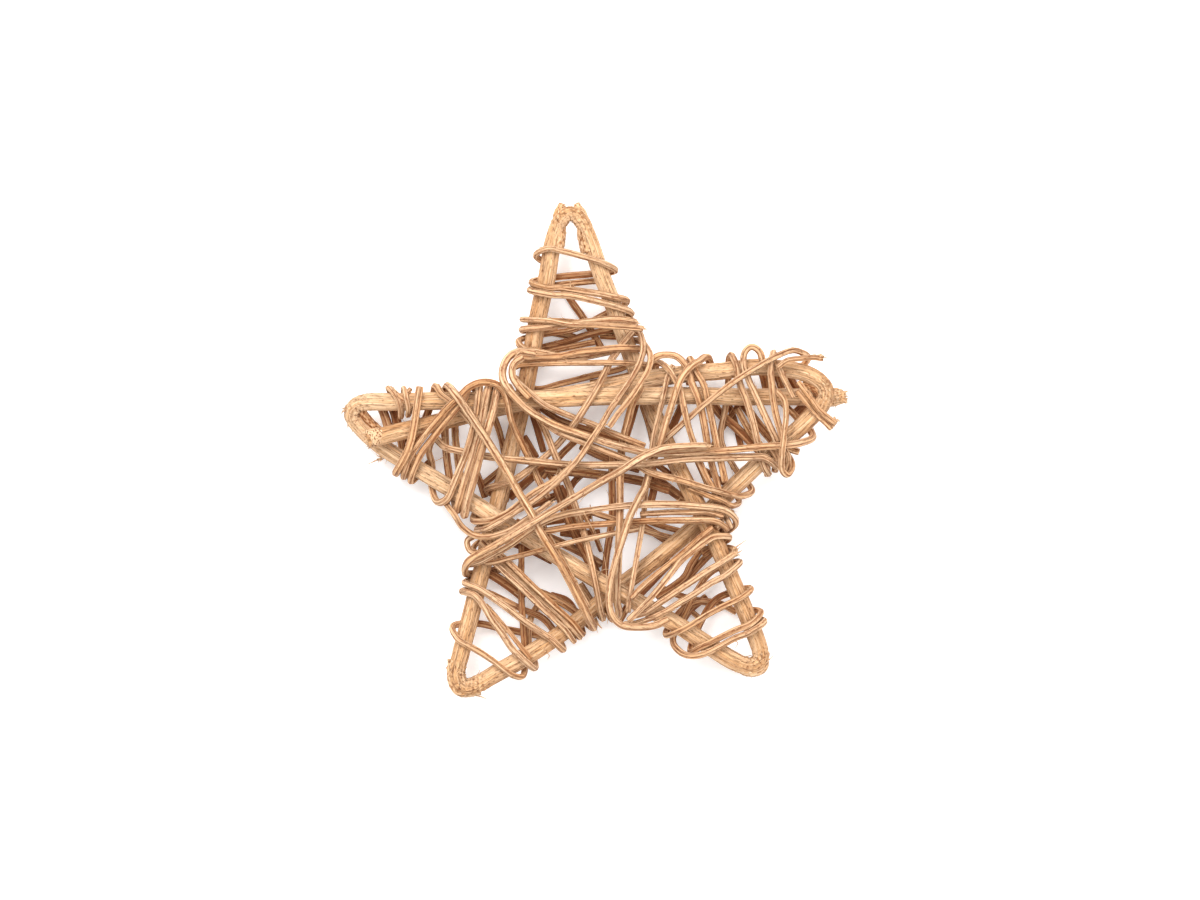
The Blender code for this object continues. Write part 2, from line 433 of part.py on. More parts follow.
def heights_of(lines, radii, vine):
    """Heights at which every strand lies as tight as the layers allow, without touching."""
    firsts = np.cumsum([0] + [len(line) for line in lines])
    parts = [halves(line, first) for line, first in zip(lines, firsts)]
    at = np.vstack([part[0] for part in parts])
    a = np.concatenate([part[1] for part in parts])
    b = np.concatenate([part[2] for part in parts])
    owner = np.concatenate([np.full(len(part[0]), i) for i, part in enumerate(parts)])
    radius = np.asarray(radii)[owner]
    low = np.full(len(at), -1.0)
    high = np.full(len(at), 1.0)
    ones, others, apart = [], [], []
    far = 5.2 * max(radii) / SAMPLE
    for i in range(0, len(at), 400):
        rows = slice(i, min(i + 400, len(at)))
        gap = np.linalg.norm(at[rows, None, :2] - vine[None, :, :2], axis=2)
        reach = vine[None, :, 3] + radius[rows, None] + GAP
        rise = np.sqrt(np.maximum(reach**2 - gap**2, 0))
        near = gap < reach
        front = at[rows, 3] > 0
        over = np.where(near, vine[None, :, 2] + rise, -1).max(axis=1)
        under = np.where(near, vine[None, :, 2] - rise, 1).min(axis=1)
        low[rows] = np.where(front, over, -1)
        high[rows] = np.where(front, 1, under)
        gap = np.linalg.norm(at[rows, None, :2] - at[None, :, :2], axis=2)
        reach = radius[rows, None] + radius[None, :] + GAP
        index = np.arange(len(at))
        later = index[None, :] > index[rows, None]
        other = owner[rows, None] != owner[None, :]
        other |= np.abs(a[rows, None] - a[None, :]) > far
        first, second = np.nonzero((gap < reach) & later & other)
        height = np.sqrt(reach[first, second] ** 2 - gap[first, second] ** 2)
        ones.append(first + i)
        others.append(second)
        apart.append(height)
    ones, others, apart = (np.concatenate(found) for found in (ones, others, apart))
    above = crossings(ones, others, owner, at[:, 3])
    ups = np.where(above, ones, others)
    downs = np.where(above, others, ones)
    z = np.concatenate([line[:, 2] for line in lines])
    last = firsts[1:] - 1
    inner = np.ones(len(z), bool)
    inner[firsts[:-1]] = False
    inner[last] = False
    inner = np.nonzero(inner)[0]
    for turn in range(TIGHTENING_ROUNDS + SETTLING_ROUNDS):
        if turn < TIGHTENING_ROUNDS:
            z[inner] += 0.5 * ((z[inner - 1] + z[inner + 1]) / 2 - z[inner])
            z[firsts[:-1]] += 0.3 * (z[firsts[:-1] + 1] - z[firsts[:-1]])
            z[last] += 0.3 * (z[last - 1] - z[last])
        middle = (z[a] + z[b]) / 2
        short = np.maximum(apart - (middle[ups] - middle[downs]), 0) * 0.5
        up = np.zeros(len(at))
        down = np.zeros(len(at))
        np.maximum.at(up, ups, short)
        np.maximum.at(down, downs, short)
        up = np.maximum(up, low - middle)
        down = np.maximum(down, middle - high)
        lift = np.zeros(len(z))
        drop = np.zeros(len(z))
        np.maximum.at(lift, a, up)
        np.maximum.at(lift, b, up)
        np.maximum.at(drop, a, down)
        np.maximum.at(drop, b, down)
        z += lift - drop
    return [z[start:end] for start, end in zip(firsts, firsts[1:])]


def thinned(points, tolerance):
    """The points that keep the line's shape within the tolerance, as Douglas and Peucker pick them."""
    keep = np.zeros(len(points), bool)
    keep[[0, -1]] = True
    stack = [(0, len(points) - 1)]
    while stack:
        start, end = stack.pop()
        if end - start < 2:
            continue
        chord = points[end] - points[start]
        along = points[start + 1 : end] - points[start]
        share = np.clip(along @ chord / max(chord @ chord, 1e-18), 0, 1)
        off = np.linalg.norm(along - share[:, None] * chord, axis=1)
        worst = int(np.argmax(off))
        if off[worst] > tolerance:
            keep[start + 1 + worst] = True
            stack += [(start, start + 1 + worst), (start + 1 + worst, end)]
    return points[keep]


def tube(line, sides):
    """Closed tube round a line of x, y, z and radius: its points and its faces."""
    middle = line[:, :3]
    ahead = np.gradient(middle, axis=0)
    legs = np.diff(middle, axis=0)
    legs /= np.linalg.norm(legs, axis=1)[:, None]
    ahead[1:-1] = legs[:-1] + legs[1:]
    ahead /= np.linalg.norm(ahead, axis=1)[:, None]
    side = np.cross(ahead[0], [0, 0, 1.0])
    rings = []
    turns = np.arange(sides) * 2 * np.pi / sides
    for centre, direction, radius in zip(middle, ahead, line[:, 3]):
        side = side - direction * (side @ direction)
        side /= np.linalg.norm(side)
        up = np.cross(side, direction)
        around = np.cos(turns)[:, None] * side + np.sin(turns)[:, None] * up
        rings.append(centre + radius * around)
    points = np.vstack(rings)
    faces = []
    for ring in range(len(rings) - 1):
        for i in range(sides):
            j = (i + 1) % sides
            here, there = ring * sides, (ring + 1) * sides
            faces.append((here + i, there + i, there + j, here + j))
    faces.append(tuple(range(sides)))
    faces.append(tuple(reversed(range(len(points) - sides, len(points)))))
    return points, faces


def add_piece(collection, name, points, faces, colour, roughness):
    """One solid as an object with its own material."""
    mesh = bpy.data.meshes.new(name)
    mesh.from_pydata(points.tolist(), [], faces)
    mesh.validate()
    material = bpy.data.materials.new(name)
    material.use_nodes = True
    shader = material.node_tree.nodes["Principled BSDF"]
    shader.inputs["Base Color"].default_value = (*colour, 1)
    shader.inputs["Roughness"].default_value = roughness
    mesh.materials.append(material)
    piece = bpy.data.objects.new(name, mesh)
    collection.objects.link(piece)
    return piece


def build():
    for piece in list(bpy.data.objects):
        bpy.data.objects.remove(piece)
    star = bpy.data.collections.new("vine_star")
    bpy.context.scene.collection.children.link(star)
    vine = vine_line()
    radii = [thickness / 2 for _, thickness, _ in STRANDS]
    routes = routes_of(STRANDS, vine)
    lines = [strand_line(route, radius, vine) for route, radius in zip(routes, radii)]
    heights = heights_of(lines, radii, vine)
    solids = [("frame_vine", tube(thinned(vine, STRAIGHTNESS * 1.5), VINE_SIDES))]
    for (name, _, _), line, z, radius in zip(STRANDS, lines, heights, radii):
        middle = np.column_stack([line[:, :2], z])
        middle = thinned(middle, STRAIGHTNESS)
        thick = np.column_stack([middle, np.full(len(middle), radius)])
        solids.append((name, tube(thick, STRAND_SIDES)))
    for _, (points, _) in solids:
        points[:, 2] -= points[:, :2] @ LEAN
    every = np.vstack([points for _, (points, _) in solids])
    middle = (every.min(axis=0) + every.max(axis=0)) / 2
    table = every[:, 2].min() + REST_FLAT
    origin = np.array([middle[0], middle[1], table])
    for name, (points, faces) in solids:
        points[:, 2] = np.maximum(points[:, 2], table)
        colour = (0.47, 0.28, 0.13) if name == "frame_vine" else (0.54, 0.33, 0.17)
        add_piece(star, name, points - origin, faces, colour, 0.7)


build()
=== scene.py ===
"""Looks of the vine star: bark, fibres, frayed ends and light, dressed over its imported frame."""

import bpy
import numpy as np
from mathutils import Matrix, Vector


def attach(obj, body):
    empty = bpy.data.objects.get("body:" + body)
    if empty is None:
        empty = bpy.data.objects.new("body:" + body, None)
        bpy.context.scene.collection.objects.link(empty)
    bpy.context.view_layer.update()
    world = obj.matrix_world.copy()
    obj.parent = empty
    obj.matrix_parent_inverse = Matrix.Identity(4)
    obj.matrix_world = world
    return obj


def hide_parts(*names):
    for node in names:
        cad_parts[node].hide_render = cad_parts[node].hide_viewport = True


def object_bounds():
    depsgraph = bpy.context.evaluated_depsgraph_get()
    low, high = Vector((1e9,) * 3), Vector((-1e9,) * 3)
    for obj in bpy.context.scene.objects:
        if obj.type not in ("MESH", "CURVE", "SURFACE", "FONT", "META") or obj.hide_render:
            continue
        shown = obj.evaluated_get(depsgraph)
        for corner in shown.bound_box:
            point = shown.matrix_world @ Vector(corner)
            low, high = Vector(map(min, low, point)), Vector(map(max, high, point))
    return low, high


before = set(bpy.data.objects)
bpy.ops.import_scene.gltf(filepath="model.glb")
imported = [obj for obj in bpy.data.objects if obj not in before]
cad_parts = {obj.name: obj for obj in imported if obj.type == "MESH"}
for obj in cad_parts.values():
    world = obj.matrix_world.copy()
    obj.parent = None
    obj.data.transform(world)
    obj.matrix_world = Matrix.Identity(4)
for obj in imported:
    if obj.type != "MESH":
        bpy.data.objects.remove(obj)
cad_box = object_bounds()


# Frame vine. One long rod of peeled vine, kinked at five bends, its bark dry, ridged lengthwise and
# cracked at the bends, with two saw-cut ends that overlap at the tips of the upper horizontal.
# All routes lie on one drawing grid, DRAWING_WIDTH units for STAR_WIDTH, x to the right and y down.
STAR_WIDTH = 0.1515
DRAWING_WIDTH = 505
UNIT = STAR_WIDTH / DRAWING_WIDTH
DRAWING_MIDDLE = np.array([596.0, 451.0])
VINE_DIAMETER = 0.0054
# Space kept between neighbouring pieces, and the spacing of the points that find the strands' heights.
GAP = 0.0003
SAMPLE = 0.0012
# Slopes along x and y by which the star leans to rest on its lowest strands.
LEAN = np.array([0.0087, -0.0174])

# x, y, height in rod diameters, thickness.
VINE_ROUTE = (
    (846, 397, -0.42, 1), (826, 397, -0.42, 1), (790, 397, -0.25, 1), (740, 397, 0.15, 1),
    (700, 396, 0.45, 1), (650, 396, 0.60, 1), (600, 397, 0.85, 1), (560, 399, 1.02, 1),
    (523, 400, 1.05, 1), (480, 401, 0.98, 1), (440, 401, 0.75, 1), (400, 402, 0.45, 1),
    (370, 402, 0.20, 1), (357, 405, 0.0, 0.88), (351, 414, -0.18, 0.82), (358, 426, -0.36, 0.92),
    (378, 444, -0.45, 1), (400, 459, -0.40, 1), (430, 477, -0.15, 1), (460, 495, 0.20, 1),
    (492, 515, 0.48, 1), (545, 549, 0.42, 1), (600, 582, 0.50, 1), (616, 590, 0.52, 1),
    (640, 604, 0.42, 1), (680, 627, 0.20, 1), (715, 650, 0.05, 1), (737, 663, 0.0, 0.95),
    (752, 667, 0.0, 0.78), (761, 660, 0.0, 0.78), (759, 645, 0.0, 0.95), (745, 610, 0.20, 1),
    (732, 580, 0.35, 1), (717, 545, 0.50, 1), (700, 510, 0.50, 1), (684, 478, 0.20, 1),
    (668, 445, -0.35, 1), (650, 403, -0.95, 1), (636, 368, -1.0, 1), (623, 332, -0.70, 1),
    (612, 301, -0.40, 1), (600, 270, -0.15, 1), (590, 240, 0.0, 0.97), (582, 221, 0.0, 0.78),
    (571, 212, 0.0, 0.74), (560, 221, 0.0, 0.78), (553, 240, 0.0, 0.97), (546, 280, -0.15, 1),
    (538, 315, -0.45, 1), (529, 365, -0.98, 1), (522, 400, -1.06, 1), (513, 440, -0.95, 1),
    (500, 492, -0.62, 1), (491, 530, -0.52, 1), (482, 568, -0.40, 1), (469, 620, -0.15, 1),
    (460, 655, 0.0, 0.97), (456, 675, 0.0, 0.82), (462, 687, 0.0, 0.8), (475, 686, 0.0, 0.85),
    (500, 672, 0.0, 0.97), (530, 655, -0.10, 1), (570, 628, -0.40, 1), (612, 594, -0.58, 1),
    (650, 565, -0.60, 1), (690, 532, -0.58, 1), (715, 507, -0.48, 1), (745, 477, -0.1, 1),
    (780, 445, 0.25, 1), (805, 423, 0.5, 1), (821, 406, 0.64, 0.95), (826, 392, 0.68, 0.85),
    (819, 381, 0.68, 0.95), (804, 373, 0.66, 1), (785, 369, 0.58, 1), (755, 367, 0.42, 1),
    (720, 371, 0.20, 1), (690, 373, 0.08, 1), (655, 378, 0.02, 1), (610, 387, -0.12, 1),
    (570, 394, -0.03, 1), (525, 402, 0.0, 1), (490, 409, -0.02, 1), (450, 419, 0.15, 1),
    (420, 427, 0.42, 1), (390, 434, 0.62, 1), (368, 440, 0.66, 1),
)


def smooth(points, count=10):
    """Curve through the points, as a Catmull-Rom spline."""
    points = np.asarray(points, float)
    ends = np.vstack([2 * points[0] - points[1], points, 2 * points[-1] - points[-2]])
    t = np.linspace(0, 1, count, endpoint=False)[:, None]
    pieces = []
    for a, b, c, d in zip(ends, ends[1:], ends[2:], ends[3:]):
        bend = (2 * a - 5 * b + 4 * c - d) * t**2 + (3 * b - a - 3 * c + d) * t**3
        pieces.append(b + 0.5 * ((c - a) * t + bend))
    return np.vstack(pieces + [points[-1:]])


def travelled(line):
    """The distance along a line at each of its points."""
    return np.concatenate([[0], np.cumsum(np.linalg.norm(np.diff(line[:, :3], axis=0), axis=1))])


def evenly(points, step):
    """The same curve with points one step apart, measured over x, y and z."""
    at = travelled(points)
    wanted = np.linspace(0, at[-1], max(3, int(round(at[-1] / step)) + 1))
    return np.column_stack([np.interp(wanted, at, column) for column in points.T])


def on_drawing(x_and_y):
    """Drawing units to metres, with y turned upwards."""
    return (np.asarray(x_and_y, float) - DRAWING_MIDDLE) * UNIT * np.array([1, -1])


def vine_line():
    """Points along the frame vine: x, y, z and radius."""
    route = np.array(VINE_ROUTE, float)
    heights = route[:, 2] * (VINE_DIAMETER + GAP)
    radii = route[:, 3] * VINE_DIAMETER / 2
    points = np.column_stack([on_drawing(route[:, :2]), heights, radii])
    return evenly(smooth(points), SAMPLE / 2)


def wander(along, seed, wave):
    """A smooth random line: values at even knots a wave apart, joined by a cosine ease."""
    dice = np.random.default_rng(seed)
    knots = dice.uniform(-1, 1, int(along[-1] / wave) + 3)
    at = along / wave
    left = at.astype(int)
    ease = (1 - np.cos((at - left) * np.pi)) / 2
    return knots[left] * (1 - ease) + knots[left + 1] * ease


def framed(middle):
    """Along a line: its direction, and a side and an up that turn as little as possible."""
    legs = np.diff(middle, axis=0)
    legs /= np.linalg.norm(legs, axis=1)[:, None]
    ahead = np.vstack([legs[:1], legs[:-1] + legs[1:], legs[-1:]])
    ahead /= np.linalg.norm(ahead, axis=1)[:, None]
    side = np.cross(ahead[0], [0, 0, 1.0])
    sides = []
    for direction in ahead:
        side = side - direction * (side @ direction)
        side /= np.linalg.norm(side)
        sides.append(side)
    sides = np.array(sides)
    return ahead, sides, np.cross(sides, ahead)


def placed(points):
    """Drawing metres to the frame: the whole star leans a little, to rest on its lowest strands."""
    moved = points - origin
    moved[:, 2] -= points[:, :2] @ LEAN
    moved[:, 2] = np.maximum(moved[:, 2], 0)
    return moved


def dressed_mesh(name, points, faces, grain, wear_and_shade, tone_and_shade):
    """Smooth mesh with three values at each point: its place on the grain, how torn it is with painted shade
    in its grooves, and how light it is with painted shade where it lies behind or under other pieces.
    """
    mesh = bpy.data.meshes.new(name)
    mesh.from_pydata(points.tolist(), [], faces)
    mesh.polygons.foreach_set("use_smooth", np.ones(len(mesh.polygons), bool))
    flat_grain = grain.ravel().astype(np.float32)
    mesh.attributes.new("grain", "FLOAT_VECTOR", "POINT").data.foreach_set("vector", flat_grain)
    for attribute, values in (("wear_and_shade", wear_and_shade), ("tone_and_shade", tone_and_shade)):
        mesh.attributes.new(attribute, "FLOAT", "POINT").data.foreach_set("value", values.astype(np.float32))
    mesh.validate()
    piece = bpy.data.objects.new(name, mesh)
    bpy.context.scene.collection.objects.link(piece)
    return piece


CAP_RISE = 0.0001


def skin(name, middle, reach, grain, wear_and_shade, tone_and_shade):
    """Closed skin: at each point of the line a ring, its radius in each direction given by reach, and both
    ends closed by a low cone. The grain runs across by the ring's own x and y and along by distance."""
    ahead, sides, ups = framed(middle)
    along = travelled(middle)
    rings, count = reach.shape
    turn = np.arange(count) * 2 * np.pi / count
    outwards = np.cos(turn)[None, :, None] * sides[:, None, :] + np.sin(turn)[None, :, None] * ups[:, None, :]
    points = (middle[:, None, :] + reach[:, :, None] * outwards).reshape(-1, 3)
    ring = np.arange(rings - 1)[:, None] * count
    i = np.arange(count)
    j = (i + 1) % count
    quads = np.stack([ring + i, ring + count + i, ring + count + j, ring + j], axis=2).reshape(-1, 4)
    first_tip = np.full(count, len(points))
    last = (rings - 1) * count
    start = np.column_stack([first_tip, i, j])
    stop = np.column_stack([first_tip + 1, last + j, last + i])
    points = np.vstack([points, middle[0] - CAP_RISE * ahead[0], middle[-1] + CAP_RISE * ahead[-1]])
    radius = np.abs(reach).mean()
    across = [np.cos(turn)[None, :] * reach, np.sin(turn)[None, :] * reach]
    flat = np.stack([*across, np.broadcast_to(along[:, None], reach.shape)], axis=2).reshape(-1, 3)
    flat = np.vstack([flat, [0, 0, -radius], [0, 0, along[-1] + radius]]) + np.array([0, 0, grain])
    worn_and_shaded = np.concatenate([wear_and_shade.reshape(-1), [1, 1]])
    shade = np.concatenate([tone_and_shade.reshape(-1), tone_and_shade[0, :1], tone_and_shade[-1, :1]])
    faces = quads.tolist() + start.tolist() + stop.tolist()
    return dressed_mesh(name, placed(points), faces, flat, worn_and_shaded, shade)


def grain_group():
    """Group: from a light, a middle and a deep colour to the colour and height of dry vine. Noises stretched
    along the grain give fine fibre lines, broad streaks and small dark pits. Torn places are darker, grooves
    are darker by painted shade, and pieces behind or under others are darker by painted shade."""
    group = bpy.data.node_groups.new("dry_vine", "ShaderNodeTree")
    for name in ("Light", "Middle", "Deep"):
        group.interface.new_socket(name, in_out="INPUT", socket_type="NodeSocketColor")
    group.interface.new_socket("Color", in_out="OUTPUT", socket_type="NodeSocketColor")
    group.interface.new_socket("Height", in_out="OUTPUT", socket_type="NodeSocketFloat")
    nodes, links = group.nodes, group.links
    given = nodes.new("NodeGroupInput")
    out = nodes.new("NodeGroupOutput")

    def stored(attribute):
        node = nodes.new("ShaderNodeAttribute")
        node.attribute_name = attribute
        return node.outputs

    grain = stored("grain")["Vector"]
    wear_and_shade = stored("wear_and_shade")["Fac"]
    tone_and_shade = stored("tone_and_shade")["Fac"]

    def noise(stretch, detail, rough):
        scaled = nodes.new("ShaderNodeVectorMath")
        scaled.operation = "MULTIPLY"
        scaled.inputs[1].default_value = stretch
        links.new(grain, scaled.inputs[0])
        texture = nodes.new("ShaderNodeTexNoise")
        texture.inputs["Scale"].default_value = 1.0
        texture.inputs["Detail"].default_value = detail
        texture.inputs["Roughness"].default_value = rough
        links.new(scaled.outputs[0], texture.inputs["Vector"])
        return texture.outputs["Fac"]

    def spread(value, low, high):
        step = nodes.new("ShaderNodeMapRange")
        step.inputs["From Min"].default_value = low
        step.inputs["From Max"].default_value = high
        links.new(value, step.inputs["Value"])
        return step.outputs[0]

    def sums(operation, first, second):
        node = nodes.new("ShaderNodeMath")
        node.operation = operation
        for socket, value in zip(node.inputs, (first, second)):
            if isinstance(value, float):
                socket.default_value = value
            else:
                links.new(value, socket)
        return node.outputs[0]

    def blend(share, first, second):
        node = nodes.new("ShaderNodeMix")
        node.data_type = "RGBA"
        links.new(share, node.inputs[0])
        links.new(first, node.inputs[6])
        links.new(second, node.inputs[7])
        return node.outputs[2]

    lines = noise((2300, 2300, 75), 3.0, 0.65)
    streaks = noise((900, 900, 32), 3.0, 0.55)
    pits = noise((2200, 2200, 700), 3.0, 0.6)
    patches = noise((110, 110, 60), 2.0, 0.5)
    fine = spread(lines, 0.38, 0.62)
    broad = spread(streaks, 0.34, 0.66)
    # Cracks follow the line where the broad noise passes its middle value.
    cracks = spread(sums("ABSOLUTE", sums("SUBTRACT", streaks, 0.47), 0.0), 0.020, 0.003)
    seams = spread(sums("ABSOLUTE", sums("SUBTRACT", lines, 0.49), 0.0), 0.040, 0.0)
    level = sums("ADD", sums("MULTIPLY", fine, 0.50), sums("MULTIPLY", broad, 0.35))
    level = sums("ADD", level, sums("MULTIPLY", spread(patches, 0.3, 0.7), 0.25))
    level = sums("ADD", level, sums("SUBTRACT", tone_and_shade, 0.5))
    ramp = blend(spread(level, 0.1, 0.9), given.outputs["Middle"], given.outputs["Light"])
    # Painted shade: grooves, and pieces given a lower tone behind or under others, turn towards the deep
    # colour; torn places darken the same way.
    dark = sums("MULTIPLY", wear_and_shade, 0.85)
    shaded = spread(tone_and_shade, 0.35, -0.5)
    for cause, share in ((spread(pits, 0.56, 0.68), 0.55), (cracks, 0.5), (seams, 0.48), (shaded, 0.95)):
        dark = sums("ADD", dark, sums("MULTIPLY", cause, share))
    links.new(blend(sums("MINIMUM", dark, 0.92), ramp, given.outputs["Deep"]), out.inputs["Color"])
    height = sums("SUBTRACT", sums("ADD", fine, broad), sums("MULTIPLY", spread(pits, 0.62, 0.74), 1.5))
    height = sums("SUBTRACT", height, sums("MULTIPLY", cracks, 1.2))
    links.new(height, out.inputs["Height"])
    return group


dry_vine = grain_group()
ROUGHNESS = 0.65
SHEEN = 0.2


def vine_material(name, light, middle, deep, depth):
    """Material of one finish: the group's colour, and its height as a bump of the given depth."""
    material = bpy.data.materials.new(name)
    material.use_nodes = True
    nodes, links = material.node_tree.nodes, material.node_tree.links
    shader = nodes["Principled BSDF"]
    shader.inputs["Roughness"].default_value = ROUGHNESS
    shader.inputs["Specular IOR Level"].default_value = SHEEN
    group = nodes.new("ShaderNodeGroup")
    group.node_tree = dry_vine
    for socket, colour in (("Light", light), ("Middle", middle), ("Deep", deep)):
        group.inputs[socket].default_value = (*colour, 1)
    bump = nodes.new("ShaderNodeBump")
    bump.inputs["Distance"].default_value = depth
    links.new(group.outputs["Color"], shader.inputs["Base Color"])
    links.new(group.outputs["Height"], bump.inputs["Height"])
    links.new(bump.outputs["Normal"], shader.inputs["Normal"])
    return material


VINE_SIDES = 48
VINE_STEP = 0.0005
KINK_THICKNESS = 0.9
KINK_REACH = 0.0055
# Waves round the rod, their height as a share of its radius, and a seed or the pace at which they turn.
RIDGES = ((3, 0.034, 1), (5, 0.030, 2), (9, 0.024, 3), (15, 0.018, 4))
CRUSHED_WAVES = ((3, 2300, 11), (5, -3700, 12), (7, 5300, 13), (4, 7900, 14))
CRUSHED_HEIGHT = 0.034
PEELED = 0.965
FULLEST = 1.01
LEAST_RADIUS = 0.46 * VINE_DIAMETER
RIM_LENGTH = 0.0006
RIM_WEAR = 0.07
FOOT_SWELL = 0.13
FOOT_LENGTH = 0.009
FEET_FROM = (0, 640)
TOP_BITE = (571, 211)
BITE_DEPTH = 0.45
BITE_RADIUS = 0.0016
FREE_END_TAPER = 0.30
TAPER_LENGTH = 0.0030

vine = vine_line()
# The frame's own saw-cut end tells where the drawing lies in the frame.
rod = np.array([corner.co[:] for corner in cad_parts["frame_vine"].data.vertices])
cut = np.unique(np.round(rod[rod[:, 0] > rod[:, 0].max() - 0.00001], 6), axis=0).mean(axis=0)
origin = vine[0, :3] - [0, 0, vine[0, :2] @ LEAN] - cut
vine_path = evenly(vine, VINE_STEP)
distance = travelled(vine_path)
# How sharply the rod bends at each point: 0 on a straight run and 1 in a kink.
route = np.array(VINE_ROUTE, float)
kinks = on_drawing(route[route[:, 3] < KINK_THICKNESS][:, :2])
from_kink = np.linalg.norm(vine_path[:, None, :2] - kinks[None], axis=2).min(axis=1)
kinked = np.clip(1 - from_kink / KINK_REACH, 0, 1)
turn = np.arange(VINE_SIDES) * 2 * np.pi / VINE_SIDES
# Ridges: waves round the rod whose place drifts slowly along it, the finer the lower.
relief = np.zeros((len(vine_path), VINE_SIDES))
for waves, height, seed in RIDGES:
    drift = 1.6 * wander(distance, seed, 0.018) + 0.5 * wander(distance, seed + 20, 0.006)
    strength = 0.6 + 0.4 * wander(distance, seed + 40, 0.012)
    relief += height * strength[:, None] * np.cos(waves * turn[None, :] + drift[:, None])
swell = 0.035 * wander(distance, 60, 0.020) + 0.015 * wander(distance, 61, 0.006)
# Where the rod is kinked its bark is crushed: crossing waves of several lengths.
crushed = np.zeros((len(vine_path), VINE_SIDES))
for waves, pace, seed in CRUSHED_WAVES:
    drift = 2 * wander(distance, seed, 0.003) + pace * distance
    crushed += CRUSHED_HEIGHT * np.cos(waves * turn[None, :] + drift[:, None])
crushed *= kinked[:, None]
shrink = PEELED + relief + swell[:, None]
ends = np.minimum(distance, distance[-1] - distance)
rim = np.clip(1 - ends / RIM_LENGTH, 0, 1)[:, None] ** 2
bevel = 1 - RIM_WEAR * rim * (1 + 0.6 * np.cos(5 * turn + 1))[None, :]
thickness = np.maximum(vine_path[:, 3:4], LEAST_RADIUS)
# The two feet are a little swollen, the top bend is bitten in at its outside, and the free end tapers.
foot = on_drawing(FEET_FROM)[1] - vine_path[:, 1:2]
thickness = thickness * (1 + FOOT_SWELL * np.clip(foot / FOOT_LENGTH, 0, 1))
top = np.hypot(*(vine_path[:, :2] - on_drawing(TOP_BITE)).T)
bite = np.exp(-((top / BITE_RADIUS) ** 2))[:, None] * np.maximum(np.cos(turn), 0)[None, :]
taper = 1 - FREE_END_TAPER * np.clip(1 - distance / TAPER_LENGTH, 0, 1)[:, None] ** 1.5
reach = thickness * (np.minimum(shrink, FULLEST) + crushed) * bevel * (1 - BITE_DEPTH * bite) * taper
# Darker in the hollows of the crushed bark, where it is torn at the kinks, and painted shade in the grooves
# between the ridges.
wear_and_shade = np.clip(-9 * crushed, 0, 0.9) + np.clip(-7 * relief - 0.25, 0, 0.5)
wear_and_shade = np.clip(wear_and_shade, 0, 1)
tone_and_shade = 0.5 + 0.30 * wander(distance, 70, 0.05)[:, None] + 0.12 * np.cos(turn * 2)[None, :]
tone_and_shade = tone_and_shade + 3.0 * np.maximum(crushed, 0)
frame_vine = skin("frame_vine_bark", vine_path[:, :3], reach, 0.0, wear_and_shade, tone_and_shade)
BARK_COLOURS = ((0.83, 0.565, 0.340), (0.70, 0.385, 0.175), (0.23, 0.073, 0.023))
BARK_RELIEF = 0.00017
bark = vine_material("dry_bark", *BARK_COLOURS, BARK_RELIEF)
frame_vine.data.materials.append(bark)
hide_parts("frame_vine")
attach(frame_vine, "root")


# End grain of the stub. The rod was sawn off on a slant here, so its cut shows up and to the left: cream
# wood full of small dark pores, open where a fine noise is high.
STUB_ROUTE = ((381, 434, 0.66), (376, 436.5, 0.90), (371.5, 438.5, 1.10))
STUB_GROWTH = (0.80, 1.0)
cut_line = np.array(STUB_ROUTE)
cut_line = np.column_stack([on_drawing(cut_line[:, :2]), cut_line[:, 2] * (VINE_DIAMETER + GAP)])
cut_line = evenly(cut_line, VINE_STEP)
across = np.linspace(*STUB_GROWTH, len(cut_line))[:, None]
across = across * (1 + 0.05 * np.cos(turn * 4 + 1) + 0.03 * np.cos(turn * 9))
cut_wear = np.zeros(across.shape)
stub_cut = skin("stub_end_grain", cut_line, across * VINE_DIAMETER / 2 * 0.99, 9.0, cut_wear, cut_wear + 0.5)
pored = bpy.data.materials.new("end_grain")
pored.use_nodes = True
nodes, links = pored.node_tree.nodes, pored.node_tree.links
shader = nodes["Principled BSDF"]
pores = nodes.new("ShaderNodeTexNoise")
step = nodes.new("ShaderNodeMapRange")
colour = nodes.new("ShaderNodeMix")
colour.data_type = "RGBA"
sunk = nodes.new("ShaderNodeBump")
sunk.invert = True
for node, socket, value in (
    (pores, "Scale", 1500), (pores, "Detail", 2.0), (step, "From Min", 0.50), (step, "From Max", 0.62),
    (colour, 6, (0.80, 0.53, 0.31, 1)), (colour, 7, (0.26, 0.085, 0.03, 1)), (sunk, "Distance", 0.0002),
    (shader, "Roughness", 0.8), (shader, "Specular IOR Level", SHEEN),
):
    node.inputs[socket].default_value = value
links.new(nodes.new("ShaderNodeTexCoord").outputs["Object"], pores.inputs["Vector"])
links.new(pores.outputs["Fac"], step.inputs["Value"])
links.new(step.outputs[0], colour.inputs[0])
links.new(step.outputs[0], sunk.inputs["Height"])
links.new(colour.outputs[2], shader.inputs["Base Color"])
links.new(sunk.outputs["Normal"], shader.inputs["Normal"])
stub_cut.data.materials.append(pored)
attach(stub_cut, "root")


# Binding strands. Thin vine split lengthwise, each with two or three grooves between rounded ribs,
# wound over and round the frame and each other, dry and stiff, so that they bridge in straight runs.
BROAD_STRAND = 0.00235
THICK_STRAND = 0.0022
STRAND = 0.0020
THIN_STRAND = 0.0017
FINE_STRAND = 0.0015
# Room round each turn on the side of the vine, as a multiple of the closest fit.
TURN_ROOM_RATIO = 1.07
# Samples between two touches that still belong to one crossing.
NEAR_BY = 5
# Rounds of sliding the turns apart, of tightening the strands and of settling them clear.
SLIDING_ROUNDS = 40
TIGHTENING_ROUNDS = 420
SETTLING_ROUNDS = 160
# A strand meets itself only this many radii on. Touches are looked for in batches of points.
OWN_REACH = 5.2
BATCH = 400

